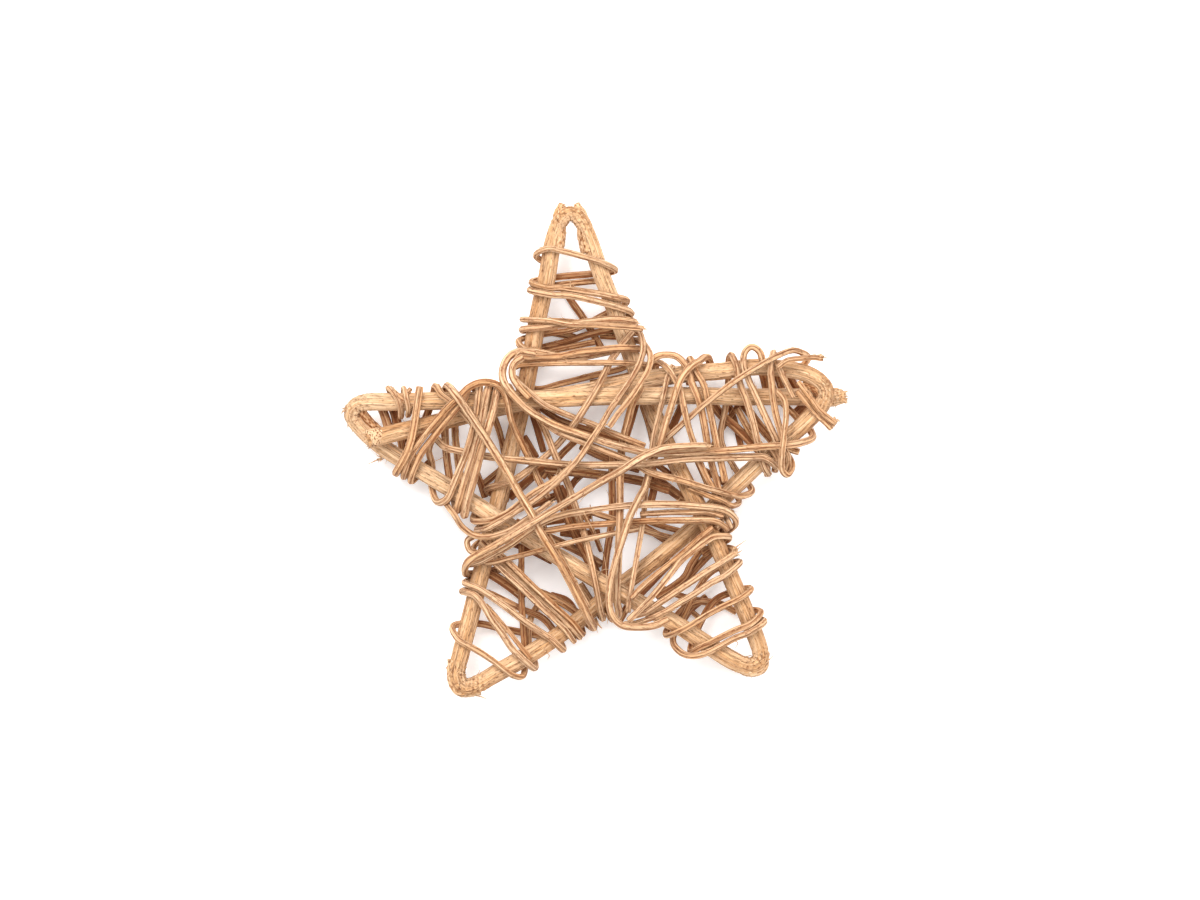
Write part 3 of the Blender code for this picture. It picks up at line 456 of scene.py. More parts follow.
# Each strand is a name, a thickness and its route: x, y and layer. Layers above 0 run in front of
# the vine and below 0 behind it, the larger the further out. At 0 the strand turns round the vine.
STRANDS = (
    ("top_winding", STRAND, (
        (553, 266, -1.1), (539, 256, 0), (548, 249, 1), (560, 251, 1), (580, 256, 1), (600, 262, 1),
        (612, 271, 0), (590, 273, -1), (556, 276, -1), (533, 282, 0), (546, 288, 1), (560, 288, 1),
        (580, 291, 1), (600, 294, 1), (614, 297, 1), (625, 302, 0), (605, 313, -1), (575, 328, -1),
        (545, 333, -1), (518, 339, 0), (524, 349, 1), (535, 351, 1), (550, 354, 1), (566, 357, 1),
    )),
    ("top_winding_second", STRAND, (
        (604, 280, -1.1), (591, 280, -1.1), (556, 284, -1.1), (534, 290, 0), (550, 295, 1.2),
        (570, 296, 1.2), (590, 300, 1.2), (610, 305, 1.2), (629, 314, 0), (600, 322, -1.1),
        (560, 320, -1.1), (524, 319, 0), (536, 320, 1), (550, 321, 1), (570, 325, 1.3), (590, 325, 1.5),
        (620, 327, 1.8), (643, 329, 2),
    )),
    ("neck_winding", STRAND, (
        (575, 336, -1.3), (545, 330, -1.3), (521, 329, 0), (545, 327, 1.1), (575, 323, 1),
        (600, 320, 1), (620, 319, 1), (635, 323, 0), (590, 333, -1.2), (565, 341, -1.2),
        (540, 347, -1.2), (517, 356, 0), (528, 358, 2), (540, 357, 2), (560, 356, 2), (580, 352, 2),
        (600, 350, 2), (620, 348, 2), (642, 351, 0), (625, 366, -1), (600, 373, -1), (560, 383, -1),
        (535, 388, -1), (511, 376, 0), (519, 383, 1), (530, 393, 1), (545, 405, 1), (560, 412, 1),
        (575, 418, 1), (592, 424, 1), (610, 432, 1), (630, 440, 1), (645, 446, 1),
    )),
    ("waist_winding", THIN_STRAND, (
        (595, 341, -1), (575, 345, -1), (545, 352, -1), (514, 366, 0), (524, 364, 1.5), (560, 363, 1.5),
        (590, 363, 1.5), (620, 363, 1.5), (649, 366, 0), (625, 375, -1.2), (590, 382, -1.2),
    )),
    ("shoulder_binding", THICK_STRAND, (
        (536, 354, 0.8), (521, 352, 0.9), (510, 357, 2.5), (504, 368, 3), (504, 380, 3), (510, 391, 3),
        (520, 402, 3), (530, 411, 3), (545, 420, 3), (560, 427, 3), (592, 438, 3), (610, 444, 3),
        (630, 449, 3), (650, 453, 3), (670, 453, 3), (700, 452, 3), (730, 450, 3), (760, 447, 3),
        (780, 446, 3), (800, 443, 3), (812, 434, 0), (796, 415, -1), (778, 395, -1), (772, 375, -1),
        (773, 355, 0), (770, 368, 1.2), (771, 385, 1.2), (773, 402, 1.2), (776, 418, 1.2),
        (781, 435, 1.2), (785, 446, 1.2),
    )),
    ("cross_binding", STRAND, (
        (600, 334, -1.4), (620, 335, -1.4), (638, 332, 0), (643, 346, 4), (640, 362, 4), (632, 378, 4),
        (620, 396, 4), (610, 410, 4), (600, 427, 4), (590, 442, 4), (580, 457, 4), (565, 474, 4),
        (550, 488, 4), (535, 500, 4), (520, 509, 4), (500, 521, 4), (487, 528, 4), (474, 529, 0),
        (490, 521, -1.6), (512, 512, -1.6), (530, 505, -1.6),
    )),
    ("cross_binding_short", STRAND, (
        (632, 339, -0.8), (642, 341, 0), (650, 355, 3.8), (648, 370, 3.8), (640, 384, 3.8),
        (630, 399, 3.8), (618, 414, 3.8), (609, 427, 3.8),
    )),
    ("cross_binding_under", STRAND, (
        (633, 331, 1.1), (627, 338, 1.2), (618, 350, 1.2), (610, 362, 1.2), (603, 377, 1.2),
        (595, 392, 1.2), (587, 405, 1.2), (578, 419, 1.2), (570, 430, 1.2), (557, 445, 1.2),
        (545, 457, 1.2), (530, 469, 1.2), (512, 481, 1.2), (488, 490, 0), (498, 497, -1),
        (508, 500, -1),
    )),
    ("lower_left_binding", STRAND, (
        (481, 503, -0.9), (476, 516, 0), (486, 521, 3), (495, 519, 3), (510, 511, 3), (520, 503, 3),
        (535, 492, 3), (555, 480, 3), (573, 465, 3),
    )),
    ("lower_left_loop", STRAND, (
        (450, 496, -0.8), (446, 503, 0), (455, 515, 3), (463, 527, 3), (475, 535, 3), (490, 536, 3),
        (510, 530, 3), (525, 520, 3), (540, 510, 3), (551, 502, 3),
    )),
    ("low_cross_binding", THIN_STRAND, (
        (505, 534, -1), (485, 540, -1), (468, 547, 0), (480, 561, 1.8), (490, 563, 2), (510, 558, 2),
        (545, 549, 2), (575, 541, 2), (615, 533, 2), (638, 529, 2),
    )),
    ("diagonal_binding", THICK_STRAND, (
        (502, 570, -1.5), (484, 573, -1.5), (464, 574, 0), (468, 562, 5), (480, 553, 6), (495, 545, 6),
        (510, 536, 6), (530, 524, 6), (560, 506, 6), (580, 494, 6), (600, 482, 6), (620, 471, 6),
        (635, 461, 6), (650, 453, 6), (665, 448, 5), (690, 446, 4), (706, 446, 3.5),
    )),
    ("middle_binding", THICK_STRAND, (
        (481, 389, 0), (478, 408, 3.5), (475, 425, 3.5), (468, 450, 3.5), (460, 470, 3.5),
        (453, 487, 3.5), (447, 499, 3), (437, 502, 0.001), (431, 488, -1), (431, 465, -1),
        (428, 450, -1), (434, 438, 0), (445, 447, 2.5), (460, 451, 2.5), (485, 456, 2.5),
        (500, 458, 2.5), (540, 462, 2.5), (580, 465, 2.5), (640, 464, 2.5), (690, 459, 2.5),
        (750, 457, 2.5), (765, 458, 2.5), (779, 468, 0), (765, 450, -1), (750, 430, -1), (738, 408, -1),
    )),
    ("upper_slant_binding", STRAND, (
        (505, 410, -1.2), (507, 387, 0), (516, 398, 2.4), (530, 410, 2.4), (545, 423, 2.4),
        (560, 433, 2.4), (580, 441, 2.4), (600, 449, 2.4), (630, 461, 2.4), (650, 472, 2.4),
        (680, 480, 2.4), (710, 489, 2.4), (730, 494, 2.4), (743, 496, 2), (753, 490, 0), (737, 470, -1),
        (722, 440, -1), (726, 410, -1), (729, 385, -1), (730, 356, 0), (736, 366, 1), (738, 378, 1),
        (741, 388, 1), (746, 400, 1), (752, 420, 1), (757, 440, 1), (760, 452, 1), (764, 466, 1),
        (771, 476, 0), (760, 462, -1.2),
    )),
    ("short_slant_binding", THIN_STRAND, (
        (688, 487, 2.1), (700, 492, 2.2), (712, 497, 2.2), (722, 501, 2.2), (732, 506, 2),
        (741, 502, 0), (727, 485, -1.1), (705, 470, -1.1),
    )),
    ("lower_binding", STRAND, (
        (482, 563, -1), (468, 565, 0), (480, 561, 4), (490, 556, 4), (510, 545, 4), (530, 531, 4),
        (545, 521, 4), (565, 514, 4), (590, 510, 4), (620, 506, 4), (660, 504, 4), (700, 506, 4),
        (722, 509, 4), (733, 516, 3), (736, 524, 0.001), (728, 532, -1), (712, 537, -1), (680, 540, -1),
        (645, 531, -1), (615, 520, -1), (590, 512, -1),
    )),
    ("lowest_binding", STRAND, (
        (538, 532, 2.2), (550, 530, 2.2), (575, 526, 2.2), (600, 524, 2.2), (640, 521, 2.2),
        (690, 520, 2.2), (715, 521, 2.2), (727, 530, 0), (705, 532, -1.3), (685, 532, -1.3),
    )),
    ("lowest_binding_short", THIN_STRAND, (
        (640, 514, 2.1), (655, 513, 2.1), (670, 512, 2.1), (690, 512, 2.1), (705, 512, 2.1),
        (723, 516, 2.1),
    )),
    ("centre_upright", THICK_STRAND, (
        (642, 386, 0.9), (637, 395, 0.9), (632, 405, 0.9), (628, 420, 0.9), (623, 440, 0.9),
        (621, 455, 0.9), (620, 480, 2), (620, 510, 3), (619, 540, 3), (618, 570, 3), (617, 600, 3),
        (619, 613, 3), (612, 620, 0.001), (604, 600, -1), (606, 560, -1), (612, 520, -1),
        (612, 482, -1), (612, 455, -1),
    )),
    ("hooked_upright", THICK_STRAND, (
        (714, 376, -1), (708, 358, 0), (698, 362, 2.2), (690, 367, 2.2), (680, 380, 2.2),
        (673, 400, 2.2), (666, 422, 2.2), (659, 446, 2.2), (654, 458, 2.2), (650, 468, 2.3),
        (645, 486, 2.3), (638, 499, 5), (630, 515, 5), (625, 530, 5), (620, 545, 5), (615, 562, 5),
        (610, 582, 5), (609, 600, 5), (612, 614, 5), (622, 624, 4.5), (639, 626, 4), (655, 624, 4),
        (668, 618, 3),
    )),
    ("cut_upright", THIN_STRAND, (
        (673, 365, 0.8), (668, 376, 0.9), (664, 392, 0.9), (660, 410, 0.9), (655, 430, 0.9),
        (652, 447, 0.9), (650, 460, 0.9), (648, 472, 1), (646, 490, 1), (643, 520, 1), (638, 550, 1),
        (633, 578, 1), (629, 600, 1), (628, 612, 1),
    )),
    ("right_leg_binding", STRAND, (
        (655, 385, -1.1), (657, 365, 0), (665, 366, 2), (672, 375, 2), (680, 390, 2), (684, 410, 2),
        (689, 430, 2), (695, 448, 2), (700, 463, 2), (707, 478, 2), (716, 494, 1.9),
    )),
    ("right_leg_binding_second", STRAND, (
        (649, 364, 1.1), (656, 357, 1.1), (665, 355, 1.1), (677, 357, 1.3), (687, 368, 1.3),
        (691, 382, 1.3), (697, 397, 1.3), (701, 410, 1.3), (705, 430, 1.3), (708, 448, 1.3),
        (712, 465, 1.3), (717, 482, 1.3), (722, 500, 1.3), (727, 512, 1.3),
    )),
    ("right_leg_binding_third", STRAND, (
        (690, 385, -1), (690, 359, 0), (696, 372, 1.2), (703, 384, 1.2), (707, 400, 1.2),
        (711, 417, 1.2), (715, 437, 1.2), (719, 455, 1.2), (725, 482, 1.2),
    )),
    ("right_arm_slant", STRAND, (
        (792, 378, -1.2), (808, 359, 0.001), (800, 352, 1.5), (790, 351, 1.5), (775, 357, 1.5),
        (755, 368, 1.5), (735, 381, 1.5), (715, 396, 1.5), (700, 408, 1.5), (680, 426, 1.5),
        (662, 442, 1.5),
    )),
    ("right_arm_loop", STRAND, (
        (762, 361, 1), (759, 352, 1), (751, 347, 1), (744, 353, 1), (743, 365, 1), (748, 380, 1),
        (755, 395, 1), (764, 415, 1), (772, 432, 1), (777, 443, 1),
    )),
    ("right_arm_short", THIN_STRAND, (
        (777, 364, 1.3), (782, 376, 1.3), (788, 388, 1.3), (793, 398, 1.3),
    )),
    ("right_hanging_loop", THIN_STRAND, (
        (776, 391, 1.4), (783, 400, 2), (785, 415, 3), (783, 435, 4), (781, 452, 4), (781, 468, 4),
        (787, 475, 3), (793, 466, 0.001), (789, 455, -1), (778, 442, -1),
    )),
    ("right_tip_stub", THIN_STRAND, (
        (797, 382, 1.5), (808, 396, 1.5), (818, 410, 1.5), (827, 418, 1.2), (835, 424, 1.2),
    )),
    ("right_tip_stub_second", THIN_STRAND, (
        (796, 391, 1.4), (806, 403, 1.4), (816, 415, 1.4), (824, 422, 1.2), (831, 429, 1.2),
    )),
    ("right_tip_frayed", THIN_STRAND, (
        (776, 368, 1.9), (786, 361, 2), (800, 359, 2), (812, 358, 2), (822, 359, 2),
    )),
    ("left_arm_tangle", THIN_STRAND, (
        (396, 404, -1), (388, 389, 0), (394, 393, 1.5), (399, 401, 1.5), (401, 409, 1.5), (402, 418, 0),
        (402, 403, -1), (404, 387, 0), (407, 398, 1.5), (409, 409, 1.5), (408, 418, 0),
        (412, 405, -0.8),
    )),
    ("left_arm_winding", THICK_STRAND, (
        (421, 387, 0), (419, 400, 2.2), (416, 420, 2.2), (412, 440, 2.2), (406, 456, 2.2),
        (397, 470, 0), (412, 445, -1), (424, 420, -1), (432, 400, -1), (436, 388, 0), (443, 395, 1.5),
        (450, 400, 1.5), (460, 409, 1.5), (470, 420, 1.5), (481, 434, 1.5),
    )),
    ("left_arm_long", STRAND, (
        (415, 455, -1.2), (404, 475, 0), (411, 456, 2), (425, 436, 2), (440, 418, 2), (450, 407, 2),
        (460, 398, 2), (470, 388, 2), (482, 383, 2), (495, 384, 2), (504, 391, 2), (508, 402, 1.6),
        (511, 418, 1), (516, 431, 1), (525, 450, 1), (532, 465, 1), (540, 483, 1), (548, 498, 1),
    )),
    ("left_arm_slant", STRAND, (
        (428, 462, -1.3), (411, 480, 0), (420, 456, 1.8), (432, 440, 1.8), (446, 423, 1.8),
        (457, 410, 1.8), (465, 400, 1.8), (472, 388, 0), (484, 405, -1), (494, 420, -1), (503, 447, -1),
    )),
    ("long_binding", BROAD_STRAND, (
        (492, 396, -0.8), (489.5, 389, 0), (485, 408, 3.6), (481, 430, 3.6), (474, 455, 3.6),
        (466, 480, 3.6), (460, 500, 3), (456, 511, 0), (450, 485, -1), (446, 460, -1), (444, 430, -1),
        (446, 405, -1), (447, 388, 0), (459, 397, 5), (475, 420, 5), (490, 443, 5), (505, 467, 5),
        (520, 493, 5), (532, 513, 5), (540, 530, 5), (552, 549, 5), (564, 569, 5), (578, 596, 5),
        (588, 617, 4), (592, 628, 0), (575, 613, -1), (552, 599, -1), (530, 590, -1),
    )),
    ("long_binding_second", BROAD_STRAND, (
        (500, 396, -0.8), (498, 388, 0), (494, 410, 3.7), (488, 432, 3.7), (481, 455, 3.7),
        (474, 480, 3.7), (468, 500, 3), (464, 514, 0), (461, 487, -1), (457, 460, -1), (454, 430, -1),
        (456, 405, -1),
    )),
    ("inner_upright", STRAND, (
        (533, 400, -1.1), (537, 413, 0), (548, 437, 1.5), (555, 455, 1.5), (562, 470, 1.5),
        (570, 490, 1.5), (578, 515, 1.5), (586, 540, 1.5), (592, 565, 1.5), (597, 590, 1.5),
        (600, 608, 1.5), (604, 622, 0), (592, 604, -1.1), (580, 585, -1.1),
    )),
    ("inner_slant", STRAND, (
        (540, 519, 1.6), (545, 530, 1.6), (553, 544, 1.6), (564, 562, 1.6), (574, 582, 1.6),
        (588, 607, 1.6),
    )),
    ("lower_left_ring", STRAND, (
        (540, 638, -1.2), (500, 630, -1.2), (477, 625, -1.2), (453, 627, 0), (458, 639, 1),
        (466, 644, 1), (480, 652, 1), (495, 662, 1), (505, 670, 1), (514, 676, 0.7), (523, 675, 0),
        (524, 648, -1), (521, 600, -1), (521, 557, -1), (521, 545, -1),
    )),
    ("lower_left_winding", STRAND, (
        (476, 582, -1), (463, 583, 0), (479, 589, 1), (500, 603, 1), (520, 618, 1), (540, 632, 1),
        (552, 640, 1), (562, 649, 0), (545, 622, -1.1), (520, 610, -1.1), (500, 600, -1.1),
        (485, 594, -1.1), (462, 592, 0), (474, 595, 1.2), (483, 605, 1.2), (492, 620, 1.2),
        (502, 633, 1.2), (512, 648, 1.2), (525, 661, 1.2), (535, 668, 0), (528, 645, -1.1),
        (530, 620, -1.1), (540, 603, -1.1),
    )),
    ("lower_left_twin", FINE_STRAND, (
        (485, 605, 0.9), (497, 618, 0.9), (509, 632, 0.9), (520, 646, 0.9), (531, 659, 0.9),
    )),
    ("lower_left_slant", THIN_STRAND, (
        (488, 542, 1.5), (498, 552, 1.5), (515, 568, 1.5), (530, 583, 1.5), (545, 597, 1.5),
        (560, 611, 1.5), (573, 623, 1.5), (583, 635, 0), (570, 605, -1.2), (550, 596, -1.2),
    )),
    ("lower_left_slant_second", THIN_STRAND, (
        (481, 549, 1.4), (491, 560, 1.4), (505, 573, 1.4), (520, 587, 1.4), (540, 606, 1.4),
        (557, 622, 1.4), (566, 631, 1.4), (573, 641, 0), (558, 615, -1.3), (540, 600, -1.3),
    )),
    ("lower_right_winding", STRAND, (
        (740, 612, -1), (759, 613, 0), (750, 624, 2), (735, 630, 2), (715, 640, 2), (701, 647, 2),
        (690, 652, 0), (703, 620, -1), (715, 602, -1), (730, 594, -1), (749, 590, 0), (740, 598, 2),
        (725, 605, 2), (710, 613, 2), (695, 622, 2), (681, 630, 2), (665, 636, 0), (682, 612, -1.1),
        (700, 603, -1.1), (716, 606, -1.1),
    )),
    ("lower_right_winding_second", STRAND, (
        (742, 625, -1.1), (763, 622, 0), (750, 632, 1.9), (735, 638, 1.9), (720, 646, 1.9),
        (706, 653, 1.9), (692, 656, 1.5), (680, 652, 1), (672, 642, 0), (685, 615, -1), (697, 592, -1),
        (713, 572, -1), (737, 563, 0), (725, 575, 2), (710, 583, 2), (695, 593, 2), (680, 602, 2),
        (665, 611, 2), (650, 618, 2), (636, 623, 2), (624, 624, 2),
    )),
    ("lower_right_slant", STRAND, (
        (702, 552, -1), (716, 548, -1), (733, 552, 0), (720, 563, 2.2), (705, 572, 2.2),
        (690, 582, 2.2), (675, 592, 2.2), (660, 602, 2.2), (645, 612, 2.2), (631, 616, 2.2),
    )),
    ("lower_right_slant_over", STRAND, (
        (704, 557, -0.9), (716, 548, -0.9), (727, 538, 0), (715, 536, 2.4), (705, 541, 2.4),
        (692, 551, 2.4), (680, 561, 2.4), (668, 576, 2.4), (655, 592, 2.4), (645, 603, 2.4),
        (635, 613, 2.4), (628, 620, 2.4),
    )),
    ("lower_right_slant_under", THIN_STRAND, (
        (712, 527, 1.8), (700, 537, 1.8), (690, 546, 1.8), (675, 559, 1.8), (655, 575, 1.8),
        (640, 588, 1.8), (631, 598, 1.8),
    )),
)


def against_vine(points, radii):
    """Each point moved straight out to where a strand of its radius clears the side of the vine."""
    moved = points.copy()
    for i, (point, radius) in enumerate(zip(points, radii)):
        away = point - vine[:, :2]
        nearest = np.argmin(np.hypot(away[:, 0], away[:, 1]))
        out = away[nearest] / np.hypot(*away[nearest])
        side = (vine[nearest, 3] + radius + GAP) * TURN_ROOM_RATIO
        moved[i] = vine[nearest, :2] + out * side
    return moved


def routes_of(strands):
    """Routes in metres: x, y and layer. Turns lie against the vine, slid along it to clear each other."""
    routes = [np.array(route, float) for _, _, route in strands]
    for route in routes:
        route[:, :2] = on_drawing(route[:, :2])
    turns = [(i, k) for i, route in enumerate(routes) for k in np.nonzero(route[:, 2] == 0)[0]]
    radii = np.array([strands[i][1] / 2 for i, _ in turns])
    room = (radii[:, None] + radii[None, :] + GAP) * TURN_ROOM_RATIO
    np.fill_diagonal(room, 0)
    places = against_vine(np.array([routes[i][k, :2] for i, k in turns]), radii)
    for _ in range(SLIDING_ROUNDS):
        apart = places[:, None, :] - places[None, :, :]
        distance = np.maximum(np.hypot(apart[..., 0], apart[..., 1]), 1e-9)
        short = np.maximum(room - distance, 0)
        slide = (apart * (short / distance)[..., None]).sum(axis=1) / 2
        places = against_vine(places + slide, radii)
    for (i, k), place in zip(turns, places):
        routes[i][k, :2] = place
    return routes


def strand_line(route, radius):
    """Points along one strand before tightening: x, y, z and layer."""
    points = route[:, :2]
    layer = route[:, 2]
    reach = VINE_DIAMETER / 2 + radius + GAP
    apart = np.linalg.norm(points[:, None, :] - vine[None, :, :2], axis=2)
    base = vine[apart.argmin(axis=1), 2]
    steps = np.sign(layer) * (reach + (np.abs(layer) - 1) * 2 * radius)
    height = np.where(np.abs(layer) < 1, layer * reach + base, steps)
    curve = smooth(np.column_stack([points, height, layer]))
    share = np.linspace(0, len(points) - 1, len(curve))
    curve[:, 2] = np.interp(share, np.arange(len(points)), height)
    curve[:, 3] = np.interp(share, np.arange(len(points)), layer)
    return evenly(curve, SAMPLE)


def halves(line, first):
    """Points and midpoints of a line in order, with the two samples each is the mean of."""
    a = np.arange(2 * len(line) - 1) // 2
    b = np.arange(1, 2 * len(line)) // 2
    return (line[a] + line[b]) / 2, a + first, b + first


def crossings(first, second, owner, layer):
    """Which of each touching pair lies in front, decided once for each stretch where two strands meet.
    A stretch ends where either strand turns from the front of the vine to its back."""
    meetings = {}
    stretch = np.zeros(len(first), int)
    total = []
    order = np.lexsort((second, first))
    for k in order:
        i, j = first[k], second[k]
        found = None
        recent = meetings.setdefault((owner[i], owner[j], layer[i] > 0, layer[j] > 0), [])
        for meeting in recent:
            if i - meeting[0] <= NEAR_BY and meeting[1] - NEAR_BY <= j <= meeting[2] + NEAR_BY:
                found = meeting
                break
        if found is None:
            found = [i, j, j, len(total)]
            recent.append(found)
            total.append(0.0)
        if i > found[0]:
            found[:3] = i, j, j
        found[1] = min(found[1], j)
        found[2] = max(found[2], j)
        stretch[k] = found[3]
        total[found[3]] += layer[i] - layer[j]
    return np.array(total)[stretch] >= 0


def heights_of(lines, radii, held=0):
    """Heights at which every strand lies as tight as the layers allow, without touching. The first few
    strands, as many as held, keep the heights that they come with."""
    firsts = np.cumsum([0] + [len(line) for line in lines])
    parts = [halves(line, first) for line, first in zip(lines, firsts)]
    at = np.vstack([part[0] for part in parts])
    a = np.concatenate([part[1] for part in parts])
    b = np.concatenate([part[2] for part in parts])
    owner = np.concatenate([np.full(len(part[0]), i) for i, part in enumerate(parts)])
    radius = np.asarray(radii)[owner]
    low = np.full(len(at), -1.0)
    high = np.full(len(at), 1.0)
    ones, others, apart = [], [], []
    far = OWN_REACH * max(radii) / SAMPLE
    for i in range(0, len(at), BATCH):
        rows = slice(i, min(i + BATCH, len(at)))
        gap = np.linalg.norm(at[rows, None, :2] - vine[None, :, :2], axis=2)
        reach = vine[None, :, 3] + radius[rows, None] + GAP
        rise = np.sqrt(np.maximum(reach**2 - gap**2, 0))
        near = gap < reach
        front = at[rows, 3] > 0
        over = np.where(near, vine[None, :, 2] + rise, -1).max(axis=1)
        under = np.where(near, vine[None, :, 2] - rise, 1).min(axis=1)
        low[rows] = np.where(front, over, -1)
        high[rows] = np.where(front, 1, under)
        gap = np.linalg.norm(at[rows, None, :2] - at[None, :, :2], axis=2)
        reach = radius[rows, None] + radius[None, :] + GAP
        index = np.arange(len(at))
        later = index[None, :] > index[rows, None]
        other = owner[rows, None] != owner[None, :]
        other |= np.abs(a[rows, None] - a[None, :]) > far
        first, second = np.nonzero((gap < reach) & later & other)
        height = np.sqrt(reach[first, second] ** 2 - gap[first, second] ** 2)
        ones.append(first + i)
        others.append(second)
        apart.append(height)
    ones, others, apart = (np.concatenate(found) for found in (ones, others, apart))
    above = crossings(ones, others, owner, at[:, 3])
    ups = np.where(above, ones, others)
    downs = np.where(above, others, ones)
    z = np.concatenate([line[:, 2] for line in lines])
    given = z[: firsts[held]].copy()
    last = firsts[1:] - 1
    inner = np.ones(len(z), bool)
    inner[firsts[:-1]] = False
    inner[last] = False
    inner = np.nonzero(inner)[0]
    for turn in range(TIGHTENING_ROUNDS + SETTLING_ROUNDS):
        if turn < TIGHTENING_ROUNDS:
            z[inner] += 0.5 * ((z[inner - 1] + z[inner + 1]) / 2 - z[inner])
            z[firsts[:-1]] += 0.3 * (z[firsts[:-1] + 1] - z[firsts[:-1]])
            z[last] += 0.3 * (z[last - 1] - z[last])
        middle = (z[a] + z[b]) / 2
        short = np.maximum(apart - (middle[ups] - middle[downs]), 0) * 0.5
        up = np.zeros(len(at))
        down = np.zeros(len(at))
        np.maximum.at(up, ups, short)
        np.maximum.at(down, downs, short)
        up = np.maximum(up, low - middle)
        down = np.maximum(down, middle - high)
        lift = np.zeros(len(z))
        drop = np.zeros(len(z))
        np.maximum.at(lift, a, up)
        np.maximum.at(lift, b, up)
        np.maximum.at(drop, a, down)
        np.maximum.at(drop, b, down)
        z += lift - drop
        z[: firsts[held]] = given
    return [z[start:end] for start, end in zip(firsts, firsts[1:])]


STRAND_FACETS = 36
STRAND_STEP = 0.0006
GROOVE_DEPTH = 0.15
FINE_GROOVE_DEPTH = 0.07
STRAND_FULLNESS = 1.04
END_LENGTH = 0.0007
END_WEAR = 0.10
SHADE_BEHIND = 0.36


def split_strand(name, line, z, radius, seed, dark=0.0):
    """One strand: ribs are the lobes of two cosines round it, coarse and fine, with narrow grooves where
    they pass zero. The lobes turn slowly along it, it is a little broader than high, and its thickness
    wanders."""
    middle = np.column_stack([line[:, :2], z, line[:, 3]])
    for _ in range(2):
        middle[1:-1, 2] = (middle[:-2, 2] + 2 * middle[1:-1, 2] + middle[2:, 2]) / 4
    middle = evenly(smooth(middle, 4), STRAND_STEP)
    layer = middle[:, 3]
    middle = middle[:, :3]
    along = travelled(middle)
    dice = np.random.default_rng(seed)
    ribs = dice.integers(4, 7)
    fine_ribs = 2 * ribs + dice.integers(-1, 3)
    turn = np.arange(STRAND_FACETS) * 2 * np.pi / STRAND_FACETS
    twist = dice.uniform(0, 6.28) + dice.uniform(-40, 40) * along + 0.6 * wander(along, seed + 1, 0.012)
    lobe = np.abs(np.cos((turn[None, :] * ribs + twist[:, None]) / 2)) ** 0.75
    weave = dice.uniform(0, 6.28) + dice.uniform(-60, 60) * along + 0.9 * wander(along, seed + 6, 0.008)
    fine_lobe = np.abs(np.cos((turn[None, :] * fine_ribs + weave[:, None]) / 2)) ** 0.8
    depth = GROOVE_DEPTH + 0.08 * wander(along, seed + 2, 0.010)
    thick = STRAND_FULLNESS + 0.06 * wander(along, seed + 3, 0.014) + 0.03 * wander(along, seed + 4, 0.004)
    flat = 1 + 0.05 * np.cos(2 * turn[None, :])
    ribbed = 1 - depth[:, None] * (1 - lobe) - FINE_GROOVE_DEPTH * (1 - fine_lobe)
    reach = radius * thick[:, None] * flat * ribbed
    ends = np.minimum(along, along[-1] - along)
    reach = reach * (1 - END_WEAR * np.clip(1 - ends / END_LENGTH, 0, 1) ** 2)[:, None]
    # Painted shade: the grooves between the ribs are darkened.
    groove_shade = np.clip((1 - lobe) * 1.1 - 0.12, 0, 1) + np.clip((1 - fine_lobe) * 0.8 - 0.2, 0, 1)
    groove_shade = np.clip(groove_shade, 0, 1)
    own = dice.uniform(0.34, 0.78)
    # Painted shade: strands where they pass behind the vine, and by dark the strands wound in under others,
    # are given a lower tone.
    painted_shade_behind = SHADE_BEHIND * np.clip(-layer, 0, 1)
    tone_and_shade = own + 0.22 * wander(along, seed + 5, 0.03) - painted_shade_behind - dark
    tone_and_shade = np.clip(np.broadcast_to(tone_and_shade[:, None], reach.shape), -0.4, 1)
    return skin(name, middle, reach, seed * 0.37, groove_shade, tone_and_shade)


radii = [thickness / 2 for _, thickness, _ in STRANDS]
lines = [strand_line(route, radius) for route, radius in zip(routes_of(STRANDS), radii)]
heights = heights_of(lines, radii)
SPLIT_COLOURS = ((0.83, 0.565, 0.340), (0.71, 0.385, 0.172), (0.23, 0.068, 0.020))
SPLIT_RELIEF = 0.00013
split_vine = vine_material("split_vine", *SPLIT_COLOURS, SPLIT_RELIEF)
for number, ((name, _, _), line, z, radius) in enumerate(zip(STRANDS, lines, heights, radii)):
    strand = split_strand(name + "_fibre", line, z, radius, 100 + 10 * number)
    strand.data.materials.append(split_vine)
    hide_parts(name)
    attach(strand, "root")


# Further strands. More split vine is wound in under and between the named strands, which keep their
# places, mostly as short runs at the back that show through the gaps, darkened with painted shade.
WIDE_STRAND = 0.0027
